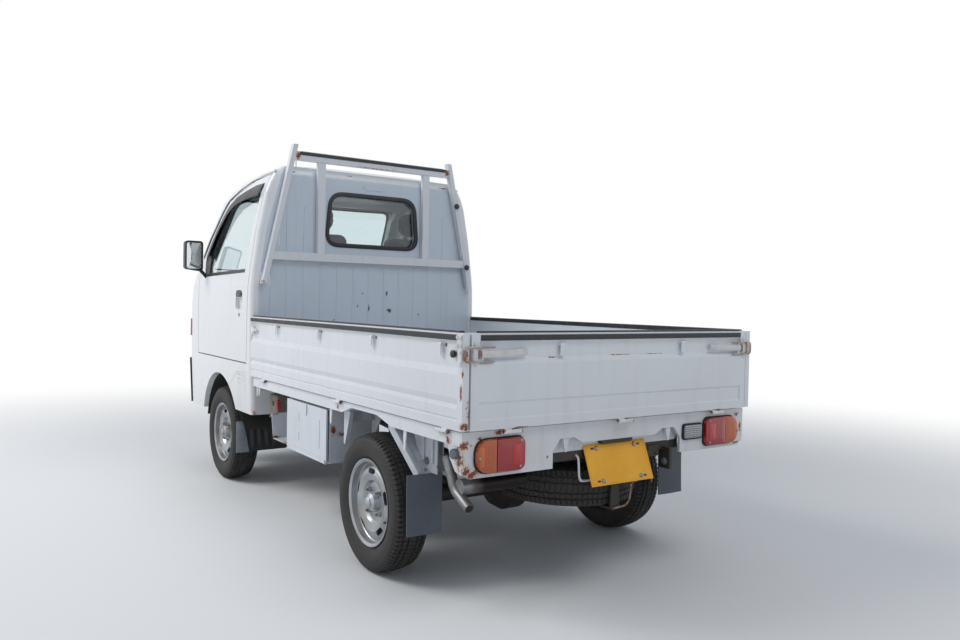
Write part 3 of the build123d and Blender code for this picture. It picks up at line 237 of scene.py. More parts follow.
cab_rust = (
    # x, y, z, reach along x, y, z
    (666, -382, 440, 24, 18, 30),
    (668, -400, 470, 16, 16, 60),
    (650, -500, 435, 40, 60, 8),
    (-666, -382, 440, 24, 18, 30),
    (480, -392, 1716, 60, 20, 7),
    (-470, -392, 1716, 60, 20, 7),
    (140, -392, 1728, 40, 20, 5),
)
cab_enamel = enamel("cab_baked_enamel", "#E6E8EA", dirt_and_shade_amount=0.32, spots=cab_rust)
dress(cab_enamel, "cab_front", "cab_side_left", "cab_side_right", "cab_roof")


# Back wall: one pressed sheet with upright ribs, brush-touched white over primer, scuffed low down by loads
# with short dark scratches. Its white is painted cooler and darker than the doors', and bluer and darker
# downwards, as shade.
back_scuffs = (
    # x, y, z, reach along x, y, z
    (-90, -380, 1080, 14, 12, 26),
    (-110, -380, 985, 26, 12, 22),
    (20, -380, 1000, 8, 12, 46),
    (90, -380, 1010, 8, 12, 12),
    (60, -380, 1080, 10, 12, 10),
    (230, -380, 930, 9, 12, 14),
    (-300, -380, 965, 10, 12, 10),
)
# Painted shade: a cool grey white, and a bluish grey in the dirt slot that darkens it downwards.
back_wall_shaded_enamel = enamel("back_wall_enamel_painted_shade", "#C9D3DE", "#8E9AA6", 0.42, 0.45, back_scuffs,
                     ("#1B1E22", "#4A525A", "#A3AFBA"))
dress(back_wall_shaded_enamel, "cab_back")


def make_piece(name, layers, body, sharp=40.0):
    """One object on a body from layers of (grids, material). Every cell of a grid of points, which are in
    millimetres, is a face. Rows that meet and ends drawn to a point are merged, so all is closed."""
    points, cells, owners, count = [], [], [], 0
    for owner, (grids, material) in enumerate(layers):
        for grid in grids:
            rows, columns = grid.shape[:2]
            index = count + np.arange(rows * columns).reshape(rows, columns)
            cell = np.stack((index[:-1, :-1], index[:-1, 1:], index[1:, 1:], index[1:, :-1]), -1)
            points.append(grid.reshape(-1, 3) / 1000.0)
            cells.append(cell.reshape(-1, 4))
            owners.append(np.full(cells[-1].shape[0], owner))
            count += rows * columns
    mesh = bpy.data.meshes.new(name)
    mesh.from_pydata(np.concatenate(points).tolist(), [], np.concatenate(cells).tolist())
    for grids, material in layers:
        mesh.materials.append(material)
    mesh.polygons.foreach_set("material_index", np.concatenate(owners))
    work = bmesh.new()
    work.from_mesh(mesh)
    bmesh.ops.remove_doubles(work, verts=work.verts, dist=2e-6)
    bmesh.ops.recalc_face_normals(work, faces=work.faces)
    work.to_mesh(mesh)
    work.free()
    mesh.shade_smooth()
    mesh.set_sharp_from_angle(angle=radians(sharp))
    piece = bpy.data.objects.new(name, mesh)
    bpy.context.scene.collection.objects.link(piece)
    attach(piece, body)
    return piece


def rounded(width, height, corner, steps=4):
    """A rectangle's outline with a quarter arc about each corner's centre; corner may be four radii."""
    corner = np.broadcast_to(np.asarray(corner, float), (4,))[:, None]
    angle = np.arange(4)[:, None] * pi / 2 + np.linspace(0.0, pi / 2, steps + 1)
    along = np.array((1, -1, -1, 1))[:, None] * (width / 2 - corner) + corner * np.cos(angle)
    up = np.array((1, 1, -1, -1))[:, None] * (height / 2 - corner) + corner * np.sin(angle)
    return np.stack((along, up), -1).reshape(-1, 2)


def eased(points, radius, steps=5, closed=True):
    """A run of points with each corner cut by the curve (1-t)^2 A + 2t(1-t) B + t^2 C, where B is the
    corner and A and C lie a radius before and after it."""
    points = np.asarray(points, float)
    before = np.roll(points, 1, 0) - points
    after = np.roll(points, -1, 0) - points
    start = points + radius * before / np.linalg.norm(before, axis=1, keepdims=True)
    end = points + radius * after / np.linalg.norm(after, axis=1, keepdims=True)
    t = np.linspace(0.0, 1.0, steps + 1)[None, :, None]
    curve = (1 - t) ** 2 * start[:, None] + 2 * t * (1 - t) * points[:, None] + t ** 2 * end[:, None]
    if closed:
        return curve.reshape(-1, points.shape[1])
    return np.concatenate((points[:1], curve[1:-1].reshape(-1, points.shape[1]), points[-1:]))


def carried(section, path, up=(0, 0, 1), closed=False):
    """A closed section carried along a path: P = path + a * side + b * lift, with side square to the
    path and to up. An open run is drawn to a point at the middle of each end."""
    path, section = np.asarray(path, float), np.asarray(section, float)
    if closed:
        way = np.roll(path, -1, 0) - np.roll(path, 1, 0)
    else:
        way = np.gradient(path, axis=0)
    way /= np.linalg.norm(way, axis=1, keepdims=True)
    side = np.cross(way, np.broadcast_to(np.asarray(up, float), path.shape))
    side /= np.linalg.norm(side, axis=1, keepdims=True)
    lift = np.cross(side, way)
    section = np.vstack((section, section[:1]))
    grid = path[:, None] + section[None, :, :1] * side[:, None] + section[None, :, 1:] * lift[:, None]
    if closed:
        return np.concatenate((grid, grid[:1]))
    ends = grid[[0, -1], :-1].mean(axis=1, keepdims=True).repeat(grid.shape[1], axis=1)
    return np.concatenate((ends[:1], grid, ends[1:]))


# Back window: flat glass held in the pressed opening by one thick black EPDM rubber section, pushed
# over the flange all round. The rubber is matt with a slightly greyed, weathered face.
def moulded(name, colour, worn, roughness, metallic=0.0, patch=30.0, grain=700.0, depth=0.2):
    """A finish whose colour drifts between two hex values in patches and whose surface has a fine grain:
    a patch is 1000 / patch millimetres across, and the grain's dots are 1000 / grain millimetres apart."""
    material, tree, shader, place = new_finish(name)
    clouds = add_node(tree, "ShaderNodeTexNoise", {"Vector": place, "Scale": patch, "Detail": 4.0})
    drift = add_node(tree, "ShaderNodeMapRange", {"Value": clouds.outputs[0], "From Min": 0.3,
                                                  "From Max": 0.7})
    base = add_node(tree, "ShaderNodeMix", {0: drift.outputs[0], 6: hex_colour(colour), 7: hex_colour(worn)},
                    data_type="RGBA")
    rough = add_node(tree, "ShaderNodeMapRange", {"Value": drift.outputs[0], "To Min": roughness * 0.85,
                                                  "To Max": min(1.0, roughness * 1.2)})
    fine = add_node(tree, "ShaderNodeTexNoise", {"Vector": place, "Scale": grain, "Detail": 3.0})
    bump = add_node(tree, "ShaderNodeBump", {"Height": fine.outputs[0], "Strength": depth,
                                             "Distance": 0.0004})
    tree.links.new(base.outputs[2], shader.inputs["Base Color"])
    tree.links.new(rough.outputs[0], shader.inputs["Roughness"])
    tree.links.new(bump.outputs[0], shader.inputs["Normal"])
    shader.inputs["Metallic"].default_value = metallic
    return material


cab_rear_y = -385.0
seal_rubber = moulded("weathered_epdm_rubber", "#0E0F11", "#24262A", 0.55)
window_corners = ((-282, 1342), (282, 1342), (258, 1622), (-258, 1622))
ring = eased(window_corners, 74, 7)
seal_path = np.insert(ring, 1, cab_rear_y + 2.5, axis=1)
seal_section = ((-14, -6), (10, -6), (12, 2), (8, 8), (-6, 9), (-12, 5))
make_piece("back_window_seal", [([carried(seal_section, seal_path, (0, 1, 0), True)], seal_rubber)],
           "chassis")


# Side glass, screen and back glass: clear float glass, toughened or laminated, held by its rubber seals
# or by the doors' channels. It has a faint green tint and a little dust.
def clear_sheet(name, colour, ior, haze):
    """A see-through sheet: sharp where clean, a breath of haze where dusty, in patches 170 mm across."""
    material, tree, shader, place = new_finish(name)
    dust = add_node(tree, "ShaderNodeTexNoise", {"Vector": place, "Scale": 6.0, "Detail": 4.0})
    rough = add_node(tree, "ShaderNodeMapRange", {"Value": dust.outputs[0], "From Min": 0.45,
                                                  "From Max": 0.9, "To Max": haze})
    tree.links.new(rough.outputs[0], shader.inputs["Roughness"])
    shader.inputs["Base Color"].default_value = hex_colour(colour)
    shader.inputs["Transmission Weight"].default_value = 1.0
    shader.inputs["IOR"].default_value = ior
    return material


window_glass = clear_sheet("toughened_glass", "#E8F2F4", 1.5, 0.05)
dress(window_glass, "cab_glass", "door_glass_left", "door_glass_right")


# Doors: hollow pressed doors in the same enamel. A black rubber seal closes the gap round each, a felt
# and rubber channel holds the glass, and a smoked acrylic rain visor is stuck along the window's top.
door_enamel = enamel("door_baked_enamel", "#E6E8EA", dirt_and_shade_amount=0.3, spots=((690, -574, 953, 16, 16, 16),))
dress(door_enamel, "door_left", "door_right")
level_z = (372, 640, 1000, 1110, 1190, 1400, 1601, 1661, 1699, 1725, 1747)
level_half = (678, 689, 692, 690, 683, 655, 616, 594, 574, 552, 517)
# Smoked acrylic: so dark that it hardly shows any drift, with a thin cool gloss.
smoked_acrylic = moulded("smoked_acrylic", "#121017", "#1D1A24", 0.38, patch=8.0, depth=0.05)
smoked_acrylic.node_tree.nodes["Principled BSDF"].inputs["Specular IOR Level"].default_value = 0.3
# Moulded black plastic: satin, with a grain too fine to see but for its soft highlight.
satin_black = moulded("satin_black_moulding", "#101114", "#1E2024", 0.4, grain=900.0)
handle_black = moulded("black_acetal", "#17181B", "#2A2C30", 0.35, grain=900.0)
# Zinc-plated steel: a greyish metal glint, dulled in spots.
bright_zinc = moulded("zinc_plated_steel", "#9A9C9E", "#6F6A62", 0.42, 0.9, patch=140.0)
seal_depth = 32
door_line = ((-1378, 700), (-457, 700), (-435, 1150), (-423, 1701), (-660, 1691), (-1006, 1608),
             (-1173, 1461), (-1378, 1237))
visor_top = ((-468, 1655), (-600, 1656), (-760, 1640), (-900, 1617), (-1000, 1577), (-1080, 1516),
             (-1150, 1452), (-1216, 1374), (-1268, 1303))
visor_low = ((-470, 1588), (-600, 1590), (-745, 1580), (-870, 1560), (-962, 1524), (-1032, 1470),
             (-1098, 1405), (-1166, 1330), (-1228, 1262))
channel_out = ((-1262, 1164), (-1291, 1262), (-1262, 1301), (-1205, 1378), (-1150, 1453), (-1050, 1529),
               (-960, 1597), (-640, 1650), (-465, 1652))
channel_in = ((-1196, 1164), (-1206, 1247), (-1198, 1315), (-1131, 1385), (-1063, 1474), (-980, 1553),
              (-900, 1570), (-640, 1630), (-482, 1636))
belt_out = ((-1264, 1160), (-1000, 1164), (-700, 1169), (-506, 1173))
belt_in = ((-1250, 1186), (-1000, 1190), (-700, 1195), (-506, 1199))
rear_out = ((-506, 1173), (-486, 1340), (-463, 1652))
rear_in = ((-520, 1180), (-500, 1340), (-480, 1640))


def cab_half_width(z):
    """How far the cab's side lies from its middle at a height, straight between the pressed levels."""
    return np.interp(z, level_z, level_half)


def sheet_solid(surface, offset):
    """A sheet's grid closed into a thin solid: its face, its back moved by offset, and four edges."""
    back = surface + np.asarray(offset, float)
    return [surface, back, np.stack((surface[0], back[0])), np.stack((surface[-1], back[-1])),
            np.stack((surface[:, 0], back[:, 0])), np.stack((surface[:, -1], back[:, -1]))]


def between(first, second, side, proud, count=4):
    """A surface on the cab's side between two (y, z) lines: P(s) = (1 - s) first + s second, standing
    proud of the side by proud[0] at the first line and proud[1] at the second."""
    first, second = np.asarray(first, float), np.asarray(second, float)
    s = np.linspace(0.0, 1.0, count)[None, :, None]
    flat = (1 - s) * first[:, None] + s * second[:, None]
    stand = proud[0] + (proud[1] - proud[0]) * np.sqrt(s[..., 0])
    out = side * (cab_half_width(flat[..., 1]) + stand)
    return np.concatenate((out[..., None], flat), axis=2)


for side, name in ((1, "left"), (-1, "right")):
    seal_line = eased(door_line, 12, 3)
    seal_x = side * (cab_half_width(seal_line[:, 1]) - seal_depth)
    seal_line = np.concatenate((seal_x[:, None], seal_line), axis=1)
    seal = carried(rounded(5, 10, 2, 2), seal_line, (side, 0, 0), True)
    make_piece(f"door_seal_{name}", [([seal], seal_rubber)], "chassis")
    grids = []
    for outer, inner in ((channel_out, channel_in), (belt_out, belt_in), (rear_out, rear_in)):
        grids += sheet_solid(between(outer, inner, side, (-3, -7)), (-side * 5, 0, 0))
    make_piece(f"window_channel_{name}", [(grids, satin_black)], f"door_{name}")
    visor = sheet_solid(between(visor_top, visor_low, side, (1.5, 15)), (-side * 2.5, 0, 0))
    make_piece(f"rain_visor_{name}", [(visor, smoked_acrylic)], f"door_{name}")


def raised(centre, along, up, rows):
    """A boss of outlines one above the other: P = centre + a * along + b * up + h * out. Each row is
    (outline, h), and the first and last are drawn to a point at their middle."""
    along, up = np.asarray(along, float), np.asarray(up, float)
    out = np.cross(along, up)
    outlines = np.stack([np.vstack((outline, outline[:1])) for outline, h in rows])
    heights = np.array([h for outline, h in rows])[:, None, None]
    grid = np.asarray(centre, float) + outlines[..., :1] * along + outlines[..., 1:] * up + heights * out
    ends = grid[[0, -1], :-1].mean(axis=1, keepdims=True).repeat(grid.shape[1], axis=1)
    return np.concatenate((ends[:1], grid, ends[1:]))


def eased_plate(size, low, high, top_size, top):
    """The outlines of a plate with an eased edge: one size from low to high, then a smaller one at top.
    A size is a width, a height and a corner's radius."""
    return (rounded(*size), low), (rounded(*size), high), (rounded(*top_size), top)


def turned(profile, centre, axis, count=24):
    """A profile of (distance along the axis, radius) turned about it: P = centre + a * axis +
    r * (cos t * side + sin t * lift)."""
    profile, axis = np.asarray(profile, float), np.asarray(axis, float)
    axis = axis / np.linalg.norm(axis)
    side = np.cross(axis, (0.31, 0.52, 0.79))
    side /= np.linalg.norm(side)
    lift = np.cross(axis, side)
    t = np.linspace(0.0, 2 * pi, count + 1)[None, :, None]
    spoke = np.cos(t) * side + np.sin(t) * lift
    return np.asarray(centre, float) + profile[:, 0, None, None] * axis + profile[:, 1, None, None] * spoke


# Door handles: a black moulded flap, hinged over the upper half of the pressed pocket, and a turned key
# lock below it. Both go through the door's skin and are screwed from inside.
lock_profile = ((0, 0), (0, 9), (1.5, 9), (2.5, 7.5), (2.5, 3), (1.2, 2.4), (1.2, 0))
for side, name in ((1, "left"), (-1, "right")):
    flap = raised((side * 689.5, -585, 1064), (0, side, 0), (0, 0, 1),
                  eased_plate((94, 32, 9), -2, 1.5, (88, 26, 8), 3.2))
    lock = turned(lock_profile, (side * 692.6, -574, 953), (side, 0, 0), 20)
    make_piece(f"door_handle_{name}", [([flap], handle_black), ([lock], bright_zinc)], f"door_{name}")


# Roof drain rails: a folded flange spot-welded along each roof edge and down the screen pillar, white
# like the cab, with a dark strip of sealer in its groove.
rail_line = ((-398, 1714), (-529, 1713), (-734, 1690), (-866, 1661), (-1010, 1617), (-1092, 1556),
             (-1172, 1470), (-1262, 1378), (-1336, 1290))
for side, name in ((1, "left"), (-1, "right")):
    path = eased(rail_line, 40, 4, closed=False)
    path = np.concatenate(((side * (cab_half_width(path[:, 1]) + 1.0))[:, None], path), axis=1)
    rail = carried(((-3, -8), (5, -8), (8, -2), (8, 5), (3, 7), (-3, 7)), path, (side, 0, 0))
    groove = carried(rounded(6, 6, 2, 2), path + np.array((side * 0.5, 0.0, -8.0)), (side, 0, 0))
    make_piece(f"drain_rail_{name}", [([rail], cab_enamel), ([groove], seal_rubber)], "chassis")


# Screen: laminated glass, bowed like the cab's front, in a black rubber section pushed over the flange.
# Two sprung wiper arms with rubber blades are parked along its lower edge.
level_front = (-1624, -1636, -1639, -1621, -1573, -1417, -1261, -1160, -1034, -909, -784)
level_bow = (30, 32, 35, 38, 45, 50, 50, 48, 40, 35, 30)
level_corner = (70, 80, 90, 95, 95, 95, 95, 100, 130, 160, 180)


def cab_front_face(x, z):
    """The y of the cab's front at (x, z): a shallow bow across, then a quarter round at each corner."""
    front, bow = np.interp(z, level_z, level_front), np.interp(z, level_z, level_bow)
    corner = np.interp(z, level_z, level_corner)
    flat = cab_half_width(z) - corner
    past = np.clip(np.abs(x) - flat, 0.0, corner * 0.98)
    return front + bow * np.clip(np.abs(x) / flat, 0, 1) ** 2 + corner - np.sqrt(corner ** 2 - past ** 2)


# The seal runs round the opening on the front's face and leans with it: its lift is (dy/dx, -1, dy/dz).
screen_corners = ((-590, 1180), (590, 1180), (515, 1640), (-515, 1640))
ring = eased(screen_corners, 66, 12)
ring = np.concatenate((ring, ring[:1]))
along = np.concatenate(((0.0,), np.cumsum(np.linalg.norm(np.diff(ring, axis=0), axis=1))))
steps = np.linspace(0, along[-1], 180, endpoint=False)
ring = np.stack((np.interp(steps, along, ring[:, 0]), np.interp(steps, along, ring[:, 1])), -1)
screen_path = np.insert(ring, 1, cab_front_face(ring[:, 0], ring[:, 1]) - 1.0, axis=1)
ring_x, ring_z, off = ring[:, 0], ring[:, 1], 8
slope_x = (cab_front_face(ring_x + off, ring_z) - cab_front_face(ring_x - off, ring_z)) / (2 * off)
slope_z = (cab_front_face(ring_x, ring_z + off) - cab_front_face(ring_x, ring_z - off)) / (2 * off)
screen_normal = np.stack((slope_x, -np.ones_like(slope_x), slope_z), -1)
screen_seal = carried(((-12, -5), (8, -5), (11, 1), (6, 6), (-8, 5)), screen_path, screen_normal, True)
make_piece("screen_seal", [([screen_seal], seal_rubber)], "chassis")
# An arm rises by 26 s + 16 sin(pi s) along its run s, 12 to 16 mm clear of the glass.
wiper_grids = []
for base_x, tip_x in ((-430, -10), (60, 400)):
    reach = np.linspace(0.0, 1.0, 24)
    arm_x, arm_z = base_x + (tip_x - base_x) * reach, 1196 + 26 * reach + 16 * np.sin(pi * reach)
    arm = np.stack((arm_x, cab_front_face(arm_x, arm_z) - 16 + 4 * reach, arm_z), -1)
    wiper_grids.append(carried(rounded(7, 10, 2, 2), arm, (0, -1, 0)))
    blade_x = tip_x + np.linspace(-250, 150, 24)
    blade_z = 1222 + 0.02 * (blade_x - tip_x)
    blade = np.stack((blade_x, cab_front_face(blade_x, blade_z) - 9, blade_z), -1)
    wiper_grids.append(carried(rounded(8, 12, 2, 2), blade, (0, -1, 0)))
    pivot_y = float(cab_front_face(base_x, 1180)) - 2
    wiper_grids.append(turned(((-8, 0), (-8, 11), (14, 9), (16, 0)), (base_x, pivot_y, 1190), (0, -1, 0.4)))
make_piece("wipers", [(wiper_grids, satin_black)], "chassis")


# Guard frame: welded square tube behind the cab in the bed's enamel, thinner there and rusty where the
# rail meets the posts. A black rubber strip is riveted along the rail; small rods and knobs tie ropes.
guard_rust = (
    # x, y, z, reach along x, y, z
    (462, -350, 1800, 26, 30, 34),
    (-462, -350, 1800, 26, 30, 34),
    (640, -352, 1130, 16, 24, 20),
    (455, -350, 1748, 12, 20, 24),
    (0, -350, 1778, 260, 20, 4),
)
guard_enamel = enamel("guard_frame_enamel", "#DDE0E4", "#A79F94", 0.38, 0.4, guard_rust)
dress(guard_enamel, "guard_frame")
# Extruded rubber: dark and dull, with a grey bloom in long patches.
rail_rubber = moulded("extruded_black_rubber", "#141619", "#2B2E33", 0.5, patch=14.0)
strip_section = ((-2, -9), (3.2, -8), (4.2, -3), (3.0, 0), (4.2, 3), (3.2, 8), (-2, 9))
rear_strip = carried(strip_section, ((452, -346, 1812), (0, -346, 1812), (-452, -346, 1812)), (0, 0, 1))
cap_section = ((-14, -2), (14, -2), (14, 1.5), (8, 3.4), (-8, 3.4), (-14, 1.5))
top_cap = carried(cap_section, ((-440, -363, 1822), (0, -363, 1822), (440, -363, 1822)), (0, 0, 1))
make_piece("guard_rail_rubber", [([rear_strip, top_cap], rail_rubber)], "chassis")
rope_rod = rounded(6, 6, 2.9, 3)
post_foot, post_top = (647, 1120), (487, 1857)
post_lean = (post_foot[0] - post_top[0]) / (post_top[1] - post_foot[1])


def post_x(z):
    """How far a guard post's outer face is from the middle: it leans in straight from foot to top."""
    return post_foot[0] - post_lean * (z - post_foot[1])


rods = []
for side in (-1, 1):
    for z in (1752, 1352, 1140):
        x = side * (post_x(z) - 34)
        path = eased(((x + side * 14, -349, z + 26), (x, -338, z + 26), (x, -338, z - 26),
                      (x, -342, z - 34)), 7, 4, closed=False)
        rods.append(carried(rope_rod, path, (0.2, 0.3, 1)))
make_piece("guard_rope_rods", [(rods, guard_enamel)], "chassis")
knob_profile = ((0, 0), (0, 9), (4, 10), (7, 15), (15, 16), (20, 12), (22, 0))
knobs = [turned(knob_profile, (16 - post_x(z), -345, z), (0, 1, 0), 20) for z in (1250, 1610)]
make_piece("guard_rubber_knobs", [(knobs, rail_rubber)], "chassis")


# Bed: folded and spot-welded steel, enamelled, walked and loaded on. Its drop sides and tailgate are
# pressed sheets over a frame; rust sits at the hinges, the latches and the left rear corner.
bed_rust = (
    # x, y, z, reach along x, y, z
    (672, 1629, 700, 13, 16, 90),
    (690, 1638, 656, 26, 30, 20),
    (676, 1640, 655, 20, 26, 22),
    (684, 1640, 878, 22, 22, 30),
    (650, 1640, 905, 22, 18, 10),
    (660, 1642, 866, 22, 16, 9),
    (-668, 1640, 884, 16, 22, 24),
    (536, 1641, 634, 16, 14, 12),
    (470, 1641, 641, 60, 16, 7),
    (36, 1641, 634, 12, 14, 10),
    (-464, 1641, 634, 14, 14, 12),
    (-500, 1641, 641, 50, 16, 7),
    (690, 1532, 622, 20, 34, 18),
    (682, 1540, 600, 14, 30, 26),
    (690, 712, 622, 14, 16, 12),
    (681, 690, 606, 8, 20, 22),
    (690, -196, 624, 10, 12, 9),
    (692, 1628, 760, 7, 12, 46),
    (692, 1636, 820, 6, 10, 24),
    (30, 1633, 868, 100, 8, 4),
    (-150, 1633, 868, 120, 8, 3),
    (330, 1633, 866, 34, 8, 4),
    (690, -20, 835, 7, 9, 6),
    (690, 490, 835, 7, 9, 6),
    (690, 1000, 835, 7, 9, 6),
    (690, 1495, 835, 7, 9, 6),
)
bed_enamel = enamel("bed_baked_enamel", "#E1E4E8", dirt_and_shade_amount=0.34, spots=bed_rust)
dress(bed_enamel, "gate_left", "gate_right", "tailgate", "bed_frame")
# The deck's enamel is walked matt and greyed with dust.
deck_enamel = enamel("deck_enamel", "#C6CBD0", "#8A8578", 0.5, 0.9)
dress(deck_enamel, "bed_deck")


# Gate edges: black extruded rubber clipped over the top of each drop side and the tailgate, in two
# bands with the painted edge showing white between them.
outer_band = ((-9, 0), (9, 0), (9, 2.2), (5, 3.2), (0, 2.4), (-5, 3.2), (-9, 2.2))
top_band = np.array(((-7, -1), (9.2, -1), (9.2, -15), (12, -14), (12, 3.5), (9, 6), (-5, 6), (-7, 4)))
gate_front_y, gate_rear_y, tailgate_y, body_half = -380.0, 1637.0, 1640.0, 692.0
for side, name in ((1, "left"), (-1, "right")):
    ends = np.linspace(gate_front_y + 3, gate_rear_y - 34, 30)
    outer_line = np.stack((np.full(30, side * body_half), ends, np.full(30, 933.0)), -1)
    flat_line = np.stack((np.full(30, side * (body_half - 15)), ends, np.full(30, 948.0)), -1)
    outer = carried([(-side * a, b) for a, b in outer_band], outer_line, (side, 0, 0))
    flat = carried(top_band * (-side, 1), flat_line, (0, 0, 1))
    make_piece(f"gate_rubber_{name}", [([outer, flat], rail_rubber)], f"gate_{name}")
cross = np.linspace(-628, 628, 24)
outer_line = np.stack((cross, np.full(24, tailgate_y), np.full(24, 933.0)), -1)
flat_line = np.stack((cross, np.full(24, tailgate_y - 15), np.full(24, 948.0)), -1)
make_piece("tailgate_rubber", [([carried(outer_band, outer_line, (0, 1, 0)),
                                 carried(top_band, flat_line, (0, 0, 1))], rail_rubber)],
           "tailgate")


# Corner latches: a long pressed lever pivots in a bracket at each end of the tailgate and pulls a bent
# wire loop round the drop side's end. Zinc has gone from the wires, which are rusty; bolts hold the caps.
# Steel wire: pale zinc that gives way to orange-brown every few centimetres.
rusty_wire = moulded("rusted_steel_wire", "#C4C4C2", "#8E5330", 0.5, 0.2, patch=34.0)
# Brush-painted pressings: white, a little uneven in gloss and tone.
painted_steel = moulded("brush_painted_steel", "#DFE1E4", "#CFCCC6", 0.4, patch=40.0)
# Old bolts: grey metal freckled with brown.
old_bolt = moulded("rust_tinged_bolt", "#8E8A84", "#7C4A2B", 0.6, 0.6, patch=160.0)
bolt_profile = ((-1, 0), (-1, 7), (3.6, 7), (5, 5), (5, 0))
wire = rounded(6, 6, 2.9, 3)
latch_z = 881
for side in (-1, 1):
    # The loop and the lever, as places across, out from the tailgate and up from the latch's middle.
    loop = eased([(side * x, tailgate_y + out, latch_z + rise) for x, out, rise in (
        (600, 3, 22), (684, 4, 22), (688, 4, 16), (688, 4, -17), (684, 4, -23), (604, 3, -23))],
        5, 3, closed=False)
    second = loop + np.array((-side * 26.0, 0.8, 0.0))
    cup = raised((side * 648, tailgate_y + 0.5, latch_z), (-1, 0, 0), (0, 0, 1),
                 eased_plate((34, 56, 4), -2, 2, (30, 52, 4), 3))
    hub = turned(((-14, 0), (-14, 6), (14, 6), (14, 0)), (side * 634, tailgate_y + 1.9, latch_z),
                 (0, 0, 1), 14)
    grip = eased([(side * x, tailgate_y + out, latch_z + rise) for x, out, rise in (
        (626, 3, 0), (590, 4, 1), (520, 4, 3), (446, 2, 7))], 12, 3, closed=False)
    handle = carried(rounded(22, 8, 3.8, 3), grip, (0, 1, 0))
    bolts = [turned(bolt_profile, (side * 648, tailgate_y, z), (0, 1, 0), 6) for z in (915, 850)]
    mate = "left" if side > 0 else "right"
    make_piece(f"tailgate_latch_{mate}", [([cup, handle] + bolts, painted_steel), ([hub], old_bolt),
               ([carried(wire, loop, (0, 1, 0)), carried(wire, second, (0, 1, 0))], rusty_wire)],
               "tailgate")
    cap = raised((side * body_half, 1619, 921), (0, side, 0), (0, 0, 1),
                 eased_plate((30, 44, 5), -1, 2.5, (26, 40, 4), 3.5))
    stop = turned(((0, 0), (0, 7), (5, 12), (13, 12), (16, 8), (16, 0)), (side * 680, 1575, 880),
                  (side, 0, 0), 20)
    bracket = raised((side * body_half, 1627, 872), (0, side, 0), (0, 0, 1),
                     eased_plate((14, 60, 3), -1, 3, (10, 56, 3), 4))
    spots = ((1609, 934), (1626, 934), (1609, 908), (1626, 908), (1627, 890), (1627, 856))
    bolts = [turned(bolt_profile, (side * (body_half + 2), y, z), (side, 0, 0), 6) for y, z in spots]
    ties = [turned(((0, 0), (0, 6), (2.6, 5), (3, 0)), (side * 680, y + 24, 906), (side, 0, 0), 10)
            for y in (-20, 490, 1000, 1495)]
    front_loop = eased([(side * x, y, z) for x, y, z in (
        (690, -372, 902), (694, -330, 902), (694, -318, 896), (694, -318, 868), (694, -330, 862),
        (690, -372, 862))], 5, 3, closed=False)
    make_piece(f"gate_latch_{mate}", [([cap, bracket] + bolts, painted_steel), (ties, old_bolt),
               ([stop], rail_rubber), ([carried(wire, front_loop, (side, 0, 0))], painted_steel)],
               f"gate_{mate}")


# Hinge pins: plain steel pins through the white-painted barrels, three along each gate, held by their
# upset heads. The bare ends have rusted brown.
pin_profile = ((0, 0), (0, 6.4), (4, 6.4), (5, 5.4), (5, 3.2), (3.6, 2.8), (3.6, 0))
hinge_z, hinge_half = 630, 35
gate_hinge_x, gate_hinge_ys = 689, (-197, 697, 1515)
tailgate_hinge_y, tailgate_hinge_xs = 1641, (-500, 0, 500)
pins = [turned(pin_profile, (side * gate_hinge_x, y - hinge_half, hinge_z), (0, -1, 0), 14)
        for side in (-1, 1) for y in gate_hinge_ys]
pins += [turned(pin_profile, (x - hinge_half, tailgate_hinge_y, hinge_z), (-1, 0, 0), 14)
         for x in tailgate_hinge_xs]
make_piece("hinge_pin_heads", [(pins, old_bolt)], "chassis")
for side, name in ((1, "left"), (-1, "right")):
    ends = [turned(pin_profile, (side * gate_hinge_x, y + hinge_half, hinge_z), (0, 1, 0), 14)
            for y in gate_hinge_ys]
    make_piece(f"hinge_pin_ends_{name}", [(ends, old_bolt)], f"gate_{name}")


# Rear skirt: one pressing under the tailgate, wrapped round both corners. Salt has eaten it at the left
# corner, behind the rubber stop, and bled down the wrap.
skirt_rust = (
    # x, y, z, reach along x, y, z
    (672, 1612, 592, 44, 44, 24),
    (676, 1606, 545, 18, 34, 56),
    (660, 1620, 512, 34, 26, 30),
    (640, 1621, 500, 52, 16, 20),
    (612, 1621, 612, 18, 12, 14),
    (622, 1621, 520, 12, 12, 12),
    (668, 1585, 512, 14, 40, 14),
    (540, 1621, 626, 30, 12, 12),
    (335, 1621, 530, 9, 9, 9),
    (-640, 1621, 612, 26, 12, 14),
    (-664, 1621, 560, 12, 12, 36),
    (-640, 1621, 498, 30, 12, 10),
)
skirt_enamel = enamel("skirt_enamel", "#DDE0E4", dirt_and_shade_amount=0.5, spots=skirt_rust)
dress(skirt_enamel, "rear_skirt")
# Grey rubber: chalky, without a highlight.
stop_grey = moulded("grey_rubber_stop", "#4A525C", "#6C747E", 0.6, patch=60.0)
stops = [turned(((0, 0), (0, 17), (13, 17), (16.5, 15), (17.5, 10), (17.5, 0)), (side * 680, 1590, 566),
                (side, 0, 0), 28) for side in (-1, 1)]
sill = raised((0, 1591, 567), (-1, 0, 0), (0, 0, 1),
              eased_plate((640, 68, 12), -2, 0.6, (636, 64, 10), 1.4))
make_piece("skirt_stops_and_sill", [(stops, stop_grey), ([sill], skirt_enamel)], "chassis")


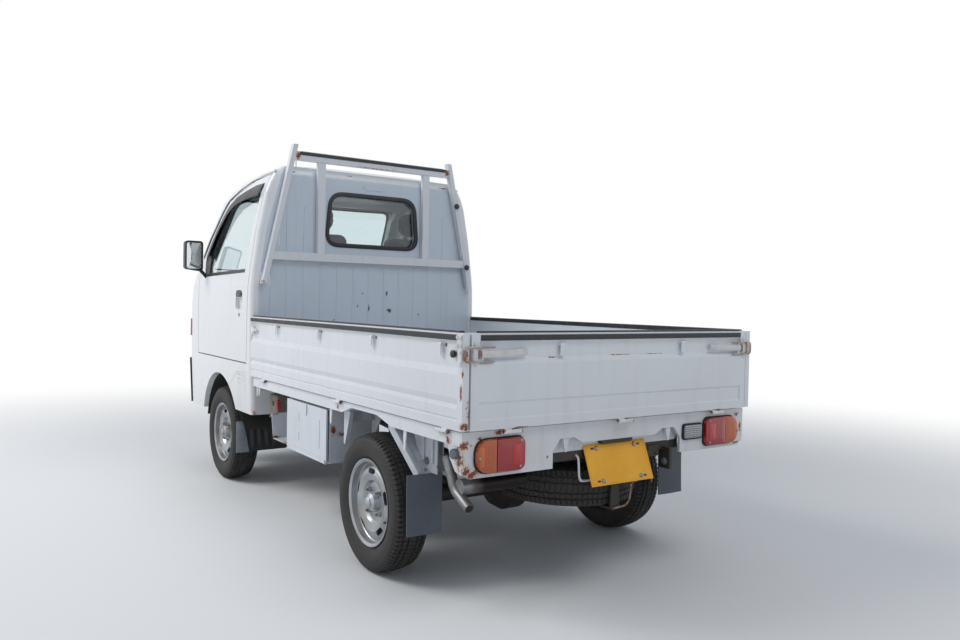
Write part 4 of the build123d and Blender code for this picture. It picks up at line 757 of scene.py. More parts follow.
# Rear lamps: two-colour acrylic lenses welded edge to edge over a white housing, on a black foam gasket.
# Fine prisms inside scatter the light; the inner half has a brighter square reflex. Three screws hold each.
def lamp_acrylic(name, colour, deep, prism):
    """Coloured acrylic: glossy outside, with rows of prisms 314 / prism millimetres apart, coarser than
    real ones so as to show, that read as a fine grid of light and deep colour."""
    material, tree, shader, place = new_finish(name)
    rows = add_node(tree, "ShaderNodeTexWave", {"Vector": place, "Scale": prism, "Distortion": 0.0},
                    wave_type="BANDS", bands_direction="X")
    columns = add_node(tree, "ShaderNodeTexWave", {"Vector": place, "Scale": prism, "Distortion": 0.0},
                       wave_type="BANDS", bands_direction="Z")
    grid = add_node(tree, "ShaderNodeMath", {0: rows.outputs[1], 1: columns.outputs[1]},
                    operation="MULTIPLY")
    base = add_node(tree, "ShaderNodeMix", {0: grid.outputs[0], 6: hex_colour(deep), 7: hex_colour(colour)},
                    data_type="RGBA")
    bump = add_node(tree, "ShaderNodeBump", {"Height": grid.outputs[0], "Strength": 0.25,
                                             "Distance": 0.0008})
    tree.links.new(base.outputs[2], shader.inputs["Base Color"])
    tree.links.new(bump.outputs[0], shader.inputs["Normal"])
    shader.inputs["Roughness"].default_value = 0.16
    shader.inputs["IOR"].default_value = 1.49
    shader.inputs["Coat Weight"].default_value = 0.6
    shader.inputs["Coat Roughness"].default_value = 0.06
    return material


red_lens = lamp_acrylic("red_acrylic", "#C40F20", "#8E0715", 60.0)
reflex_lens = lamp_acrylic("red_reflex_acrylic", "#E0122A", "#B40A1C", 90.0)
amber_lens = lamp_acrylic("amber_acrylic", "#D6691A", "#A8430C", 60.0)
amber_edge = lamp_acrylic("bright_amber_acrylic", "#E67A1C", "#C4560F", 90.0)
clear_lens = lamp_acrylic("clear_acrylic", "#CBD0D2", "#6E7478", 40.0)
# Foam gasket: soot black and fully matt.
foam = moulded("black_foam_gasket", "#17181A", "#26272A", 0.85)
lamp_y, lamp_z = 1620.0, 555.5
lamp_layers = {"foam": [], "red": [], "reflex": [], "amber": [], "edge": [], "screws": []}
for side in (-1, 1):
    outline = (44, 24, 24, 44) if side < 0 else (24, 44, 44, 24)
    lamp_layers["foam"].append(raised((side * 536, lamp_y, lamp_z), (-1, 0, 0), (0, 0, 1), eased_plate(
        (198, 115, outline), -0.5, 4, (192, 109, outline), 5)))
    red_corner = (3, 22, 22, 3) if side < 0 else (22, 3, 3, 22)
    lamp_layers["red"].append(raised((side * 498, lamp_y, lamp_z), (-1, 0, 0), (0, 0, 1), [
        (rounded(113 - inset, 107 - inset, np.maximum(np.array(red_corner) - inset / 3, 1)), h)
        for inset, h in ((0, 2), (0, 15), (3, 18.5), (9, 20), (60, 20.5))]))
    amber_corner = (44, 3, 3, 44) if side < 0 else (3, 44, 44, 3)
    lamp_layers["amber"].append(raised((side * 593, lamp_y, lamp_z), (-1, 0, 0), (0, 0, 1), [
        (rounded(77 - inset, 107 - inset, np.maximum(np.array(amber_corner) - inset / 2, 1)), h)
        for inset, h in ((0, 2), (0, 14), (3, 17.5), (9, 19), (44, 19.5))]))
    lamp_layers["reflex"].append(raised((side * 474, lamp_y + 19, lamp_z - 0.5), (-1, 0, 0), (0, 0, 1),
                                        eased_plate((34, 66, 3), -2, 2, (30, 62, 3), 3)))
    lamp_layers["edge"].append(raised((side * 612, lamp_y + 17, lamp_z - 0.5), (-1, 0, 0), (0, 0, 1),
                                      eased_plate((16, 66, 7), -2, 2, (12, 60, 6), 3)))
    for x, z in ((623, 552), (460, 597), (462, 514)):
        lamp_layers["screws"].append(turned(((16, 0), (16, 5), (21.2, 5), (22.6, 3.4), (22.6, 0)),
                                            (side * x, lamp_y, z), (0, 1, 0), 14))
reverse_place = (-376, lamp_y, 563)
lamp_layers["foam"].append(raised(reverse_place, (-1, 0, 0), (0, 0, 1), eased_plate(
    (110, 62, 12), -0.5, 6, (104, 56, 10), 8)))
reverse_face = [raised(reverse_place, (-1, 0, 0), (0, 0, 1), (
    *eased_plate((98, 50, 8), 2, 10, (92, 44, 7), 11.6), (rounded(40, 16, 5), 9.5)))]
rear_lamp_piece = make_piece("rear_lamp_lenses", [
    (lamp_layers["foam"], foam), (lamp_layers["red"], red_lens), (lamp_layers["reflex"], reflex_lens),
    (lamp_layers["amber"], amber_lens), (lamp_layers["edge"], amber_edge), (reverse_face, clear_lens),
    (lamp_layers["screws"], bright_zinc)], "chassis")
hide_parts("rear_lamps")


# Number plate: a stamped aluminium blank in yellow enamel on two arms, with a beaded edge, four bolts
# and slots, and a black lamp bar over it. The face is left bare.
# Stamped enamel: even deep yellow with a low gloss.
plate_yellow = moulded("stamped_plate_enamel", "#F4B326", "#EBA61F", 0.34, patch=12.0, grain=300.0)
dress(plate_yellow, "number_plate")
plate_top, plate_bottom = np.array((1594.0, 549.0)), np.array((1648.0, 411.0))
plate_down = (plate_bottom - plate_top) / np.linalg.norm(plate_bottom - plate_top)
plate_centre = np.array((5.0, *((plate_top + plate_bottom) / 2)))
plate_up = np.array((0.0, -plate_down[0], -plate_down[1]))
plate_out = np.cross((-1, 0, 0), plate_up)
bead = eased(((-144, -68), (144, -68), (144, 68), (-144, 68)), 14, 5)
bead_path = plate_centre + bead[:, :1] * np.array((-1.0, 0, 0)) + bead[:, 1:] * plate_up + 0.2 * plate_out
plate_bolts, plate_slot_shades = [], []
for a, b in ((-92, 58), (92, 58), (-92, -58), (92, -58)):
    head = plate_centre + a * np.array((-1.0, 0, 0)) + b * plate_up
    plate_bolts.append(turned(((0, 0), (0, 8), (2.5, 8), (5, 5.5), (5, 0)), head, plate_out, 16))
    # Black pads at the slots: painted shade of the slot holes.
    slot = plate_centre + (a * 1.22) * np.array((-1.0, 0, 0)) + b * plate_up
    plate_slot_shades.append(raised(slot, (-1, 0, 0), plate_up,
                              eased_plate((16, 7, 3.4), -1, 0.5, (15, 6, 2.9), 0.6)))
lamp_bar = raised((5, 1600, 557), (-1, 0, 0), (0, 0, 1), (
    (rounded(150, 14, 4), -12), *eased_plate((154, 16, 5), -6, 8, (146, 10, 4), 12)))
make_piece("plate_fittings", [([carried(rounded(3.4, 2.4, 1, 2), bead_path, plate_out, True)], plate_yellow),
                              (plate_bolts, bright_zinc), (plate_slot_shades + [lamp_bar], satin_black)],
           "chassis")


# Under the skirt: a bent wire guard beside the plate and the spare wheel's crank rod are round steel rod,
# and a bolted bracket painted like the frame holds the rod's end.
guard_wire = eased(((182, 1574, 520), (182, 1602, 512), (176, 1602, 434), (164, 1602, 424),
                    (120, 1600, 424)), 14, 5, closed=False)
crank = eased(((-104, 1604, 398), (-74, 1606, 396), (-70, 1607, 380), (-66, 1607, 334), (-46, 1607, 314),
               (16, 1606, 310)), 12, 5, closed=False)
latch_arm = eased(((-92, 1606, 404), (-168, 1606, 408), (-178, 1606, 402), (-178, 1606, 386)), 9, 5,
                  closed=False)
dark_block = raised((-190, 1594, 500), (-1, 0, 0), (0, 0, 1),
                    eased_plate((78, 46, 8), -40, -4, (70, 38, 6), 2))
bracket_bolts = [turned(bolt_profile, (x, 1596, z), (0, 1, 0), 6) for x, z in ((-170, 512), (-210, 488))]
# Bitumen paint: black, rough and browned by mud.
chassis_paint = moulded("chassis_bitumen_paint", "#1C1C1D", "#3A342E", 0.6, patch=12.0, grain=420.0,
                        depth=0.5)
make_piece("tail_rods", [([carried(rounded(8, 8, 3.9, 3), guard_wire, (1, 0.2, 0.1))], painted_steel),
                         ([carried(rounded(8, 8, 3.9, 3), crank, (0, 1, 0)),
                           carried(rounded(7, 7, 3.4, 3), latch_arm, (0, 1, 0))], old_bolt),
                         ([dark_block] + bracket_bolts, chassis_paint)], "chassis")


# Tabs along the bed rail: tapered steel pressings welded under it, for tying a sheet down, in the bed's
# enamel. Each is a square outline carried down its run: P = run + thickness * x + half width * y.
tab_grids = []
for side in (-1, 1):
    for y, drop in ((-330, 52), (-300, 44), (598, 66), (1236, 74)):
        run = np.array(((side * 668, y, 600), (side * 668, y, 592), (side * 669, y, 592 - drop / 2),
                        (side * 669, y, 592 - drop)), float)
        half = np.array((11, 11, 8, 5))[:, None, None]
        square = np.array(((-1, -2), (1, -2), (1, 2), (-1, 2), (-1, -2)), float)
        grid = run[:, None] + np.concatenate((square[None, :, 1:] * np.ones((4, 1, 1)),
                                              square[None, :, :1] * half, np.zeros((4, 5, 1))), axis=2)
        ends = grid[[0, -1], :-1].mean(axis=1, keepdims=True).repeat(5, axis=1)
        tab_grids.append(np.concatenate((ends[:1], grid, ends[1:])))
make_piece("bed_rail_tabs", [(tab_grids, bed_enamel)], "chassis")


# Tool box: a spot-welded steel tray and box under the left of the bed, with a pressed lid. The tray's
# front edge has rusted through its paint.
box_rust = (
    # x, y, z, reach along x, y, z
    (640, -145, 440, 40, 10, 34),
    (650, -120, 360, 40, 30, 14),
    (655, 60, 354, 30, 90, 8),
    (658, -100, 372, 14, 50, 14),
    (672, 550, 360, 10, 12, 14),
    (642, 562, 488, 22, 14, 34),
    (604, 562, 470, 40, 14, 18),
)
box_enamel = enamel("tool_box_enamel", "#D7DCE3", dirt_and_shade_amount=0.5, spots=box_rust)
dress(box_enamel, "tool_box", "tool_box_lid")
# Cast bracket: rough grey under brown grime.
clamp_grey = moulded("grimy_cast_bracket", "#6A645C", "#8C8578", 0.75, patch=40.0)
# Vinyl cover: soft red, darker where it is dirty.
red_cover = moulded("red_vinyl_cover", "#A81525", "#7E1420", 0.4, patch=40.0)
bracket = raised((618, -226, 506), (0, 1, 0), (0, 0, 1),
                 eased_plate((120, 104, 16), -70, -4, (112, 96, 14), 2))
# A black disc where the bracket has a hole: painted shade of the hole.
hole_shade_disc = turned(((0.5, 0), (0.5, 13), (3, 12), (3, 0)), (620, -232, 512), (1, 0, 0), 20)
ledge = carried(rounded(5, 26, 2, 2), ((600, -290, 452), (630, -220, 446), (640, -140, 470)), (1, 0, 0))
cover = raised((636, -132, 512), (0, 1, 0), (0.2, 0.25, 0.95),
               eased_plate((26, 58, 8), -14, -2, (20, 50, 7), 3))
make_piece("battery_terminals", [([bracket, ledge], clamp_grey), ([hole_shade_disc], satin_black),
                                 ([cover], red_cover)], "chassis")


# Rear fenders: inner panels and closing plates over the rear wheels, ribbed for stiffness, sprayed thinly
# and sanded by road grit. A bolt and a rubber grommet hold the closing plate.
fender_rust = (
    # x, y, z, reach along x, y, z
    (508, 720, 470, 14, 34, 30),
    (508, 690, 440, 12, 20, 14),
    (636, 1262, 445, 14, 12, 12),
    (600, 1332, 470, 40, 10, 10),
    (590, 1200, 436, 20, 60, 8),
    (-508, 720, 470, 14, 34, 30),
)
fender_enamel = enamel("fender_enamel", "#C9CED6", "#7D7468", 0.5, 0.85, fender_rust)
dress(fender_enamel, "rear_fenders")
grommet_profile = ((-1, 0), (-1, 15), (2, 14), (3, 11), (1.4, 9), (1.4, 0))
fender_bolts = [turned(bolt_profile, (side * 640, 1330, 462), (0, 1, 0), 6) for side in (-1, 1)]
grommets = [turned(grommet_profile, (side * 592, 1262, 478), (side, 0, 0), 20) for side in (-1, 1)]
make_piece("fender_fixings", [(fender_bolts, old_bolt), (grommets, stop_grey)], "chassis")


# Mud flaps: plain grey rubber sheets behind the rear wheels; the wide front ones are black vinyl with
# moulded upright folds, and their outer part, curved round the wheel arch, is painted paler grey as its
# highlight.
flap_grey = moulded("grey_rubber_sheet", "#4C515B", "#5E636B", 0.6, patch=9.0)
flap_black = moulded("black_vinyl_flap", "#15171A", "#2D2F31", 0.55, patch=12.0)
# Paler grey: painted highlight on the front flap's outer part, where it curves round toward the light.
flap_strip_painted_highlight = moulded("flap_curve_painted_highlight", "#8F969D", "#757C82", 0.5, patch=16.0)
# P(u, v) goes across by u and down by v. A rear sheet bows back by 3 v sin(pi u) and curls by 5 v^2; a
# front one folds by 4 sin(12 pi u), less at its top and foot; its strip bows by 5 sin(pi u).
u, v = np.meshgrid(np.linspace(0.0, 1.0, 40), np.linspace(0.0, 1.0, 24))
flap_thickness = (0, 4, 0)
rear_flap_inner, rear_flap_width, rear_flap_y, rear_flap_top, rear_flap_drop = 548, 142, 1290.3, 440, 213
front_flap_outer, front_flap_y, front_flap_top = 662.0, -619.3, 326
strip_outer, strip_y, strip_top, strip_drop = 687, -615.0, 372, 170
rear_flaps, front_flaps, flap_strips = [], [], []
for side in (-1, 1):
    bow = 3.0 * np.sin(pi * u) * v + 5.0 * v ** 2
    sheet = np.stack((side * (rear_flap_inner + rear_flap_width * u), rear_flap_y + bow,
                      rear_flap_top - rear_flap_drop * v), -1)
    rear_flaps += sheet_solid(sheet, flap_thickness)
    inner_edge = 428 - 23 * v
    fold = 4.0 * np.sin(2 * pi * 6 * u) * np.sin(pi * np.clip(v * 1.2, 0, 1)) ** 0.5
    sheet = np.stack((side * (inner_edge + (front_flap_outer - inner_edge) * u), front_flap_y + fold,
                      front_flap_top - (122 + 2 * u) * v), -1)
    front_flaps += sheet_solid(sheet, flap_thickness)
    edge = 656 - 40 * v ** 0.7
    strip = np.stack((side * (edge + (strip_outer - edge) * u), strip_y + 5 * np.sin(pi * u),
                      strip_top - strip_drop * v), -1)
    flap_strips += sheet_solid(strip, flap_thickness)
flap_piece = make_piece("mud_flap_sheets", [(rear_flaps, flap_grey), (front_flaps, flap_black),
                                            (flap_strips, flap_strip_painted_highlight)], "chassis")
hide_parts("mud_flaps")


# Tyres: five 145R12 radials in sooty black rubber, grey with dust between the blocks. Each is one
# moulding: two zigzag grooves on each side of the crown, thin sipes, slots at the shoulders, and rings
# on the sidewalls.
def arc_through(first, middle, last, count):
    """Points on the circle through three points: its centre is as far from each of them."""
    first, middle, last = (np.asarray(p, float) for p in (first, middle, last))
    rows = 2 * np.array((middle - first, last - first))
    centre = np.linalg.solve(rows, np.array((middle @ middle - first @ first, last @ last - first @ first)))
    angles = np.unwrap([np.arctan2(*(p - centre)[::-1]) for p in (first, middle, last)])
    angles = np.interp(np.linspace(0, 2, count), (0, 1, 2), angles)
    radius = np.linalg.norm(first - centre)
    return centre + radius * np.stack((np.cos(angles), np.sin(angles)), -1)


tyre_rubber = moulded("carbon_black_tread_rubber", "#1C1C1E", "#373533", 0.7, patch=16.0, grain=500.0)
# A row of the grid is the section at one turn angle. The crown's radius is c + sqrt((R - c)^2 - a^2) at a
# from the middle, where R is the tyre's, less a groove's, sipe's or slot's depth; the grooves swing in a
# by a triangle wave of the pitch.
tyre_radius, shoulder_half, shoulder_drop = 266, 61, 10
sipe_depth, slot_depth, zigzag_reach = 2.6, 5.0, 2.6
tread_half = (0, 5, 10, 14.6, 15.4, 20.6, 21.4, 26, 31, 36.6, 37.4, 42.6, 43.4, 48, 54)
tread_depth_half = (0, 0, 0, 0, 6, 6, 0, 0, 0, 0, 6, 6, 0, 0, 0)
pitches = 84
row_share = np.array((0.0, 0.05, 0.27, 0.32))
row_cut = np.array((0.0, 1.0, 1.0, 0.0))
crown_a = np.concatenate((-np.array(tread_half[:0:-1]), tread_half)).astype(float)
crown_cut = np.concatenate((np.array(tread_depth_half[:0:-1]), tread_depth_half)).astype(float)
crown_centre = tyre_radius - (shoulder_half ** 2 + shoulder_drop ** 2) / (2 * shoulder_drop)
side_arc = arc_through((53, 169), (72.5, 214), (61, 256), 20)
side_arc[:, 0] += 1.2 * ((np.abs(side_arc[:, 1] - 238) < 3.5) | (np.abs(side_arc[:, 1] - 180) < 3.5))
pitch_number = np.repeat(np.arange(pitches), 4)
share, cut = np.tile(row_share, pitches), np.tile(row_cut, pitches)
turn_angle = 2 * pi * (pitch_number + share) / pitches
zigzag = zigzag_reach * (4 * np.abs((pitch_number + share) / 2 % 1 - 0.5) - 1)
swing = np.clip(1 - np.abs(np.abs(crown_a) - 29) / 26, 0.15, 1.0)
swing[np.abs(crown_a) > 47] = 0.0
tread_a = crown_a + zigzag[:, None] * swing
tread_r = crown_centre + np.sqrt((tyre_radius - crown_centre) ** 2 - tread_a ** 2)
rib = (crown_cut == 0) & (np.abs(crown_a) < 47)
outer_block = np.abs(crown_a) > 45
tread_r = tread_r - crown_cut - sipe_depth * cut[:, None] * rib - slot_depth * cut[:, None] * outer_block
rows = len(share)
right_side = np.broadcast_to(side_arc[::-1], (rows, 20, 2)).copy()
right_side[:, :3, 1] -= cut[:, None] * np.array((slot_depth, 3.6, 1.8))
left_side = right_side[:, ::-1] * np.array((-1.0, 1.0))
inner = np.array(((53, 160.3), (46, 160.3), (63, 212), (52, 247), (-52, 247), (-63, 212), (-46, 160.3),
                  (-53, 160.3)))
section = np.concatenate((left_side, np.stack((tread_a, tread_r), -1), right_side,
                          np.broadcast_to(inner, (rows, 8, 2))), axis=1)
section = np.concatenate((section, section[:, :1]), axis=1)
section = np.concatenate((section, section[:1]), axis=0)
slant = 0.00042 * np.where(np.abs(section[..., 0]) < 47, section[..., 0], 0.0)
turned_by = np.append(turn_angle, 2 * pi)[:, None] + slant * (section[..., 1] > 240)
tyre_places = (
    # name, centre, direction out along the axle, body
    ("front_left", (600, -950, 266), (1, 0, 0), "wheel_front_left"),
    ("front_right", (-600, -950, 266), (-1, 0, 0), "wheel_front_right"),
    ("rear_left", (600, 935, 266), (1, 0, 0), "wheel_rear_left"),
    ("rear_right", (-600, 935, 266), (-1, 0, 0), "wheel_rear_right"),
    ("spare", (0, 1322, 384), (0, 0, -1), "chassis"),
)
for name, centre, axle, body in tyre_places:
    axle = np.array(axle, float)
    spoke = np.array((0.0, 1.0, 0.0))
    rise = np.cross(axle, spoke)
    ray = np.cos(turned_by)[..., None] * spoke + np.sin(turned_by)[..., None] * rise
    grid = np.array(centre, float) + section[..., :1] * axle + section[..., 1:] * ray
    tyre_piece = make_piece(f"tyre_tread_{name}", [([grid], tyre_rubber)], body, sharp=30.0)
    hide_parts("spare_tyre" if name == "spare" else f"tyre_{name}")


# Wheels: pressed and welded steel, sprayed silver. Four nuts on rusty studs hold each; a small cap closes
# its hub, a zinc weight is clipped to the rim and a rubber valve stands through it.
# Silver paint: metal flake under a thin lacquer, duller where brake dust has settled.
wheel_silver = moulded("silver_wheel_paint", "#B4B9C0", "#8F8D89", 0.34, 0.75, patch=9.0, grain=500.0,
                       depth=0.1)
dress(wheel_silver, "rim_front_left", "rim_front_right", "rim_rear_left", "rim_rear_right", "spare_rim")
# Cast zinc: pale grey, half matt, a little blotchy.
cast_zinc = moulded("cast_zinc_weight", "#A9ADB1", "#83868A", 0.5, 0.6, patch=90.0)
stud_circle, valve_circle, valve_angle, lip_radius, lip_out = 57, 132, -0.4, 162, 57
for name, centre, axle, body in tyre_places:
    axle, centre = np.array(axle, float), np.array(centre, float)
    spoke = np.array((0.0, 1.0, 0.0))
    rise = np.cross(axle, spoke)
    cap = turned(((56, 0), (56, 21), (62, 20), (66, 15), (67.5, 8), (68, 0)), centre, axle, 28)
    studs = []
    for k in range(4):
        angle = pi / 4 + k * pi / 2
        foot = centre + stud_circle * (cos(angle) * spoke + sin(angle) * rise)
        studs.append(turned(((40, 0), (40, 6.5), (47, 6.5), (49, 5), (49, 0)), foot, axle, 14))
    valve_at = centre + valve_circle * (cos(valve_angle) * spoke + sin(valve_angle) * rise)
    valve = turned(((26, 0), (26, 6), (38, 4.5), (52, 4), (54, 3), (54, 0)), valve_at, axle, 14)
    t = np.linspace(2.2, 2.5, 9)
    arc = centre + lip_out * axle + lip_radius * (np.cos(t)[:, None] * spoke + np.sin(t)[:, None] * rise)
    weight = carried(rounded(9, 8, 3, 2), arc, axle)
    make_piece(f"wheel_fittings_{name}", [([cap], wheel_silver), (studs, old_bolt), ([valve], rail_rubber),
                                          ([weight], cast_zinc)], body)


# Mirrors: silvered glass glued into a bezel in a satin black moulded case, which an arm screwed to the
# door's front corner carries. The glass is a little dusty.
mirror_silver = moulded("silvered_mirror_glass", "#E6E9EB", "#D6DADC", 0.03, 1.0, patch=6.0, depth=0.0)
dress(satin_black, "mirror_left", "mirror_right")
mirror_x, mirror_y, mirror_z = 766, -1212, 1289
for side, name in ((1, "left"), (-1, "right")):
    bezel = raised((side * mirror_x, mirror_y, mirror_z), (-1, 0, 0), (0, 0, 1),
                   eased_plate((94, 164, 15), -1, 2.4, (86, 156, 12), 3.2))
    glass = raised((side * mirror_x, mirror_y + 2.6, mirror_z), (-1, 0, 0), (0, 0, 1),
                   eased_plate((84, 154, 11), -1, 0.8, (82, 152, 10), 1.0))
    make_piece(f"mirror_glass_{name}", [([bezel], satin_black), ([glass], mirror_silver)], f"door_{name}")


# Front: a black moulded bumper and grille between two lamp units. Each lens is clear fluted plastic over
# a bright reflector, amber at the outer end for the indicator.
# Textured moulding: charcoal, matt and finely grained.
bumper_black = moulded("textured_black_moulding", "#1B1C1F", "#2A2B2E", 0.6, grain=900.0, depth=0.35)
dress(bumper_black, "bumper_front", "front_grille")
# Fluted lens: upright flutes 11 mm apart under a hard gloss, silver inwards and amber past x = 606 mm.
front_lens, tree, shader, place = new_finish("fluted_clear_lens")
amber_from = 0.606
from_middle = add_node(tree, "ShaderNodeSeparateXYZ", {0: place}).outputs[0]
from_middle = add_node(tree, "ShaderNodeMath", {0: from_middle}, operation="ABSOLUTE").outputs[0]
indicator = add_node(tree, "ShaderNodeMath", {0: from_middle, 1: amber_from},
                     operation="GREATER_THAN").outputs[0]
flutes = add_node(tree, "ShaderNodeTexWave", {"Vector": place, "Scale": 28.0},
                  bands_direction="X").outputs[1]
silvered = add_node(tree, "ShaderNodeMix", {0: flutes, 6: hex_colour("#8F979C"), 7: hex_colour("#E4E8EA")},
                    data_type="RGBA").outputs[2]
amber = add_node(tree, "ShaderNodeMix", {0: flutes, 6: hex_colour("#A8430C"), 7: hex_colour("#E67A1C")},
                 data_type="RGBA").outputs[2]
base = add_node(tree, "ShaderNodeMix", {0: indicator, 6: silvered, 7: amber}, data_type="RGBA").outputs[2]
bump = add_node(tree, "ShaderNodeBump", {"Height": flutes, "Strength": 0.4, "Distance": 0.001}).outputs[0]
tree.links.new(base, shader.inputs["Base Color"])
tree.links.new(bump, shader.inputs["Normal"])
shader.inputs["Roughness"].default_value = 0.12
shader.inputs["Coat Weight"].default_value = 1.0
shader.inputs["Coat Roughness"].default_value = 0.03
dress(front_lens, "front_lamps")
# Each rim is open at its outer end, where the lens wraps round the cab's corner: the run is cut off there
# and turned round so that it starts and ends at the cut.
rim_inner, rim_outer, rim_low, rim_high, rim_cut = 396, 700, 788, 932, 672
lamp_frames = []
for side in (-1, 1):
    line = eased(((rim_inner, rim_low), (rim_outer, rim_low), (rim_outer, rim_high), (rim_inner, rim_high)),
                 16, 4)
    line = line[line[:, 0] < rim_cut]
    line = np.roll(line, -int(np.argmax(np.linalg.norm(np.roll(line, -1, 0) - line, axis=1))) - 1, axis=0)
    rim_line = np.stack((side * line[:, 0], cab_front_face(line[:, 0], line[:, 1]) - 3, line[:, 1]), -1)
    lamp_frames.append(carried(rounded(6, 7, 2, 2), rim_line, (0, -1, 0)))
make_piece("front_lamp_rims", [(lamp_frames, satin_black)], "chassis")


# Inside: a grey moulded dash, a thin-rimmed steering wheel and a rubber mat on the painted floor; an oval
# mirror hangs on a plastic stalk screwed to the roof.
# Grained plastic for the dash, soft half-matt polyurethane for the wheel, dusty rubber for the floor.
dash_grey = moulded("grained_grey_dash", "#3D4046", "#4A4E54", 0.62, grain=1100.0, depth=0.3)
wheel_black = moulded("soft_black_polyurethane", "#141517", "#222327", 0.5, grain=1200.0)
floor_paint = moulded("rubber_mat_and_floor_paint", "#202123", "#37352F", 0.75, patch=9.0)
dress(dash_grey, "dash")
dress(wheel_black, "steering_wheel")
dress(floor_paint, "cab_floor")
stalk = carried(rounded(10, 10, 4.9, 3), ((0, -1204, 1634), (0, -1194, 1610), (0, -1188, 1575)), (1, 0, 0))
shell = raised((0, -1184, 1556), (-1, 0, 0), (0, 0.17, 0.98), [
    (rounded(220 - 2 * inset, 66 - 2 * inset, max(33 - inset, 8) - 1), h)
    for inset, h in ((20, -18), (8, -15), (1, -6), (0, 0), (2, 2))])
cabin_mirror = raised((0, -1182, 1556), (-1, 0, 0), (0, 0.17, 0.98),
                      eased_plate((208, 56, 26), -2, 1, (206, 54, 25), 1.4))
make_piece("cabin_mirror", [([stalk, shell], satin_black), ([cabin_mirror], mirror_silver)], "chassis")


# Seats: moulded foam under grey woven cloth, one for each person: cushion, back and head restraint. The
# cloth is pulled in along sewn channels; each pad is swollen by pressure like real foam.
# Woven cloth: matt with a faint sheen. Its threads repeat every 2 mm, coarser than real ones so as to show.
seat_cloth, tree, shader, place = new_finish("grey_woven_seat_cloth")
weft = add_node(tree, "ShaderNodeTexWave", {"Vector": place, "Scale": 160.0}, bands_direction="X").outputs[1]
warp = add_node(tree, "ShaderNodeTexWave", {"Vector": place, "Scale": 160.0}, bands_direction="Z").outputs[1]
weave = add_node(tree, "ShaderNodeMath", {0: weft, 1: warp}, operation="MULTIPLY").outputs[0]
base = add_node(tree, "ShaderNodeMix", {0: weave, 6: hex_colour("#24262A"), 7: hex_colour("#4A4E55")},
                data_type="RGBA").outputs[2]
bump = add_node(tree, "ShaderNodeBump", {"Height": weave, "Strength": 0.4, "Distance": 0.0006}).outputs[0]
tree.links.new(base, shader.inputs["Base Color"])
tree.links.new(bump, shader.inputs["Normal"])
shader.inputs["Roughness"].default_value = 0.92
shader.inputs["Sheen Weight"].default_value = 0.3
seat_spacing = 0.66
voxel_size, swelling_pressure, swelling_steps = 0.006, 4.0, 20
channel_depth, channel_reach = 0.006, 0.006
seam_depth, seam_reach, seam_inset = 0.004, 0.005, 0.052
seat_pads = (
    # name, centre, width, length along up, thickness, up direction, sewn channels along up, most swelling
    ("seat_cushion", (330, -742, 888), 436, 470, 100, (0, 1, -0.07), (-140, -60, 20, 100), 9),
    ("seat_back", (330, -489, 1183), 414, 462, 88, (0, 0.06, 1), (-150, -70, 10, 90), 9),
    ("head_restraint", (330, -467, 1490), 232, 128, 62, (0, 0.1, 1), (0,), 8),
)
for pad_name, centre, width, height, thick, up, channels, cap in seat_pads:
    up = np.array(up, float) / np.linalg.norm(up)
    out = np.cross((-1.0, 0, 0), up)
    rows = [(rounded(width - 2 * inset, height - 2 * inset, 46 - inset, 6), h * thick / 2)
            for inset, h in ((34, -1.0), (12, -0.96), (0, -0.7), (0, 0.7), (12, 0.96), (34, 1.0))]
    grid = raised(centre, (-1, 0, 0), up, rows)
    pad = make_piece(f"{pad_name}_left", [([grid], seat_cloth)], "chassis")
    remesh = pad.modifiers.new("even_cloth", "REMESH")
    remesh.mode = "VOXEL"
    remesh.voxel_size = voxel_size
    depsgraph = bpy.context.evaluated_depsgraph_get()
    even = bpy.data.meshes.new_from_object(pad.evaluated_get(depsgraph))
    pad.modifiers.remove(remesh)
    pad.data = even
    flat = np.empty(len(even.vertices) * 3)
    even.vertices.foreach_get("co", flat)
    cloth = pad.modifiers.new("swelling", "CLOTH")
    cloth.settings.use_pressure = True
    cloth.settings.uniform_pressure_force = swelling_pressure
    cloth.settings.quality = 5
    cloth.settings.effector_weights.gravity = 0.0
    for step in range(1, swelling_steps + 1):
        bpy.context.scene.frame_set(step)
    depsgraph = bpy.context.evaluated_depsgraph_get()
    swollen = bpy.data.meshes.new_from_object(pad.evaluated_get(depsgraph))
    pad.modifiers.remove(cloth)
    bpy.context.scene.frame_set(1)
    full = np.empty(len(swollen.vertices) * 3)
    swollen.vertices.foreach_get("co", full)
    flat, full = flat.reshape(-1, 3), full.reshape(-1, 3)
    moved = full - flat
    length = np.linalg.norm(moved, axis=1, keepdims=True)
    moved *= np.minimum(1.0, cap / 1000.0 / np.maximum(length, 1e-9))
    # Each channel takes depth * exp(-(distance / reach)^2) off the front, and so does each side's seam.
    at = flat + moved - np.array(centre) / 1000.0
    along, face = at @ up, at @ out
    from_seam = np.abs(at[:, 0]) - width / 2000.0 + seam_inset
    front = face > thick / 4000.0
    pinch = sum(np.exp(-((along - c / 1000.0) / channel_reach) ** 2) for c in channels)
    middle = np.clip(1 - np.abs(np.abs(at[:, 0]) / (width / 2000.0)) ** 6, 0, 1)
    depth = channel_depth * pinch * middle * front
    seams = np.exp(-(from_seam / seam_reach) ** 2) * front
    shaped = flat + moved - (depth + seam_depth * seams)[:, None] * out
    swollen.vertices.foreach_set("co", shaped.ravel())
    swollen.update()
    swollen.materials.clear()
    swollen.materials.append(seat_cloth)
    swollen.shade_smooth()
    pad.data = swollen
    twin_mesh = pad.data.copy()
    twin_mesh.transform(Matrix.Translation((-seat_spacing, 0.0, 0.0)))
    twin = bpy.data.objects.new(f"{pad_name}_right", twin_mesh)
    bpy.context.scene.collection.objects.link(twin)
    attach(twin, "chassis")
    for piece in (pad, twin):
        finer = piece.modifiers.new("finer", "SUBSURF")
        finer.levels = finer.render_levels = 1
        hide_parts("seats")
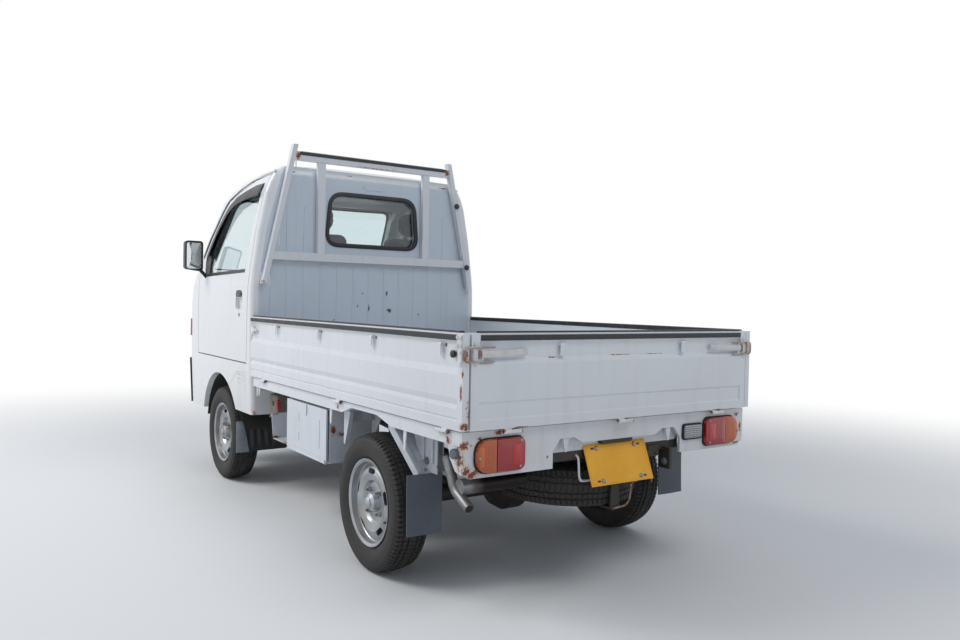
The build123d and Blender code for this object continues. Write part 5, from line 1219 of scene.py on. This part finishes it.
stays = [carried(rounded(10, 10, 4.9, 3), ((x, -474, 1395), (x, -471, 1410), (x, -468, 1440)), (1, 0, 0))
         for x in (-390, -270, 270, 390)]
make_piece("restraint_stays", [(stays, bright_zinc)], "chassis")


# Running gear: bitumen-painted frame, axles, arms and tank, an aluminised exhaust browned by heat, and a
# bare cast engine. Mud and dust dull them all.
dress(chassis_paint, "frame", "rear_axle", "front_suspension", "spare_carrier", "fuel_tank", "knuckle_left",
      "knuckle_right")
# Aluminised steel: a soft metal grey at the tail; under the bed it is painted near black as the bed's shade.
aluminised = moulded("aluminised_exhaust_steel_painted_shade", "#8B9094", "#6D6259", 0.42, 0.75, patch=22.0)
tree = aluminised.node_tree
shader = tree.nodes["Principled BSDF"]
pipe_colour = shader.inputs["Base Color"].links[0].from_socket
place = add_node(tree, "ShaderNodeTexCoord").outputs["Object"]
from_middle = add_node(tree, "ShaderNodeSeparateXYZ", {0: place}).outputs[0]
# Painted shade: near black inboard of the first x, under the bed, giving way to the metal grey past the
# second.
shaded_to, lit_from = 0.52, 0.58
tail = add_node(tree, "ShaderNodeMapRange", {"Value": from_middle, "From Min": shaded_to,
                                             "From Max": lit_from}).outputs[0]
shade = add_node(tree, "ShaderNodeMix", {0: tail, 6: hex_colour("#231E1B"), 7: pipe_colour},
                 data_type="RGBA")
tree.links.new(shade.outputs[2], shader.inputs["Base Color"])
# Soot and painted shade: a matt black disc in the pipe's end stands for its soot and the shade in its
# hollow, so that the pipe's end looks open.
soot_and_hollow_shade = moulded("sooty_bore_painted_shade", "#0B0B0B", "#161412", 0.9, patch=60.0)
pipe_end, pipe_way = np.array((600, 1550, 371.0)), np.array((0, 0.896, -0.443))
bore = turned(((-3, 0), (-3, 15), (0.6, 15), (0.8, 14), (0.8, 0)), pipe_end, pipe_way, 28)
make_piece("exhaust_bore", [([bore], soot_and_hollow_shade)], "chassis")
# Cast iron and alloy: dull grey metal, oily brown in patches.
cast_metal = moulded("cast_iron_and_alloy", "#6A6863", "#3E3A34", 0.6, 0.6, patch=16.0)
dress(aluminised, "exhaust")
dress(cast_metal, "engine")


# Output: plain display colours.
bpy.context.scene.view_settings.view_transform = "Standard"
